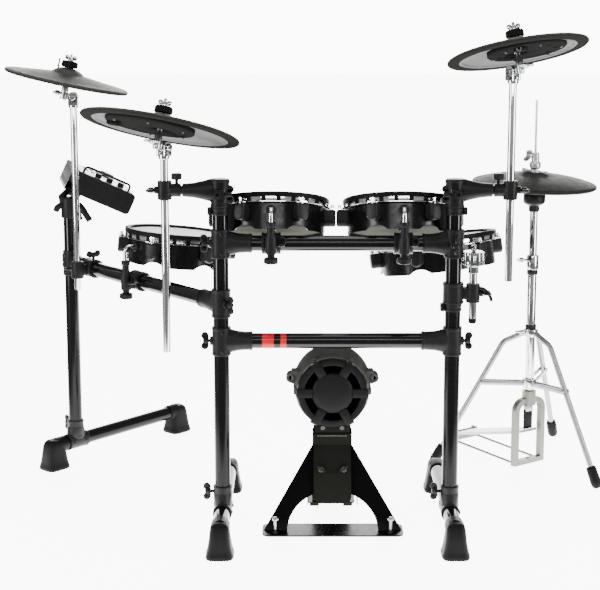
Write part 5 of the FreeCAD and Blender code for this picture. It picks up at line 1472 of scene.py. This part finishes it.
def floor():
    mesh = bpy.data.meshes.new("floor")
    size = FLOOR_HALF
    mesh.from_pydata([(-size, -size, 0), (size, -size, 0), (size, size, 0), (-size, size, 0)], [],
                     [(0, 1, 2, 3)])
    plane = bpy.data.objects.new("floor", mesh)
    bpy.context.scene.collection.objects.link(plane)
    mat = material("floor", PAPER, 0.6)
    tree = mat.node_tree
    shader = tree.nodes["Principled BSDF"]
    shader.inputs["Emission Color"].default_value = (1.0, 1.0, 1.0, 1.0)
    place = axes(tree, "Object")
    # Glowing pale patch: painted light; outside it the floor is dark grey painted shade
    fade = map_range(tree, place["Y"], FADE_Y, smooth=True)
    widen = math_node(tree, "MULTIPLY", place["Y"], GLOW_SPREAD)
    beside = math_node(tree, "SUBTRACT", math_node(tree, "ABSOLUTE", place["X"]), widen)
    edge = map_range(tree, beside, (GLOW_HALF + GLOW_FADE, GLOW_HALF), smooth=True)
    lit = math_node(tree, "MULTIPLY", fade, edge)
    tree.links.new(map_range(tree, lit, (0.0, 1.0), (DARK_GLOW, FLOOR_GLOW)),
                   shader.inputs["Emission Strength"])
    tree.links.new(mix_colors(tree, lit, FLOOR_PAINTED_SHADE, PAPER), shader.inputs["Base Color"])
    mesh.materials.append(mat)


def area_light(name, place, target, width, height, power):
    lamp = bpy.data.lights.new(name, "AREA")
    lamp.shape = "RECTANGLE"
    lamp.size = width
    lamp.size_y = height
    lamp.energy = power
    obj = bpy.data.objects.new(name, lamp)
    obj.location = place
    obj.rotation_euler = (Vector(target) - Vector(place)).to_track_quat("-Z", "Y").to_euler()
    bpy.context.scene.collection.objects.link(obj)


def studio():
    world = bpy.data.worlds.new("studio")
    world.use_nodes = True
    tree = world.node_tree
    background = tree.nodes["Background"]
    glow = map_range(tree, axes(tree, "Generated")["Y"], BACK_Y, (FRONT_GLOW, BACK_GLOW), smooth=True)
    tree.links.new(glow, background.inputs["Strength"])
    background.inputs["Color"].default_value = (1.0, 1.0, 1.0, 1.0)
    bpy.context.scene.world = world
    area_light("left strip", (-2.7, -1.2, 1.15), (0, 0, 1.15), 0.7, 2.2, STRIP_POWER)
    area_light("right strip", (2.7, -1.2, 1.15), (0, 0, 1.15), 0.7, 2.2, STRIP_POWER)
    area_light("front strip", (0, -3.1, 2.2), (0, 0, 0.7), 3.0, 0.22, FRONT_POWER)
    area_light("top", (0.0, 0.4, 4.2), (0, 0.3, 0), 2.6, 2.6, TOP_POWER)


def camera():
    lens = bpy.data.cameras.new("camera")
    lens.lens = 81.0
    lens.sensor_width = 36.0
    lens.shift_y = -0.10
    eye = bpy.data.objects.new("camera", lens)
    eye.location = (-0.0898, -3.214, 1.263)
    eye.rotation_euler = (math.radians(81.0), 0.0, 0.0)
    bpy.context.scene.collection.objects.link(eye)
    bpy.context.scene.camera = eye


rack_tubes()
joints()
legs()
memory_locks()
arm("ride", FRONT_LEFT, 180)
arm("right_crash", FRONT_RIGHT, 0)
left_crash_clamp()
for cymbal_name in CYMBALS:
    cymbal(cymbal_name)
toms()
snare()
kick()
module()
hihat()
kept_nodes()
floor()
studio()
camera()
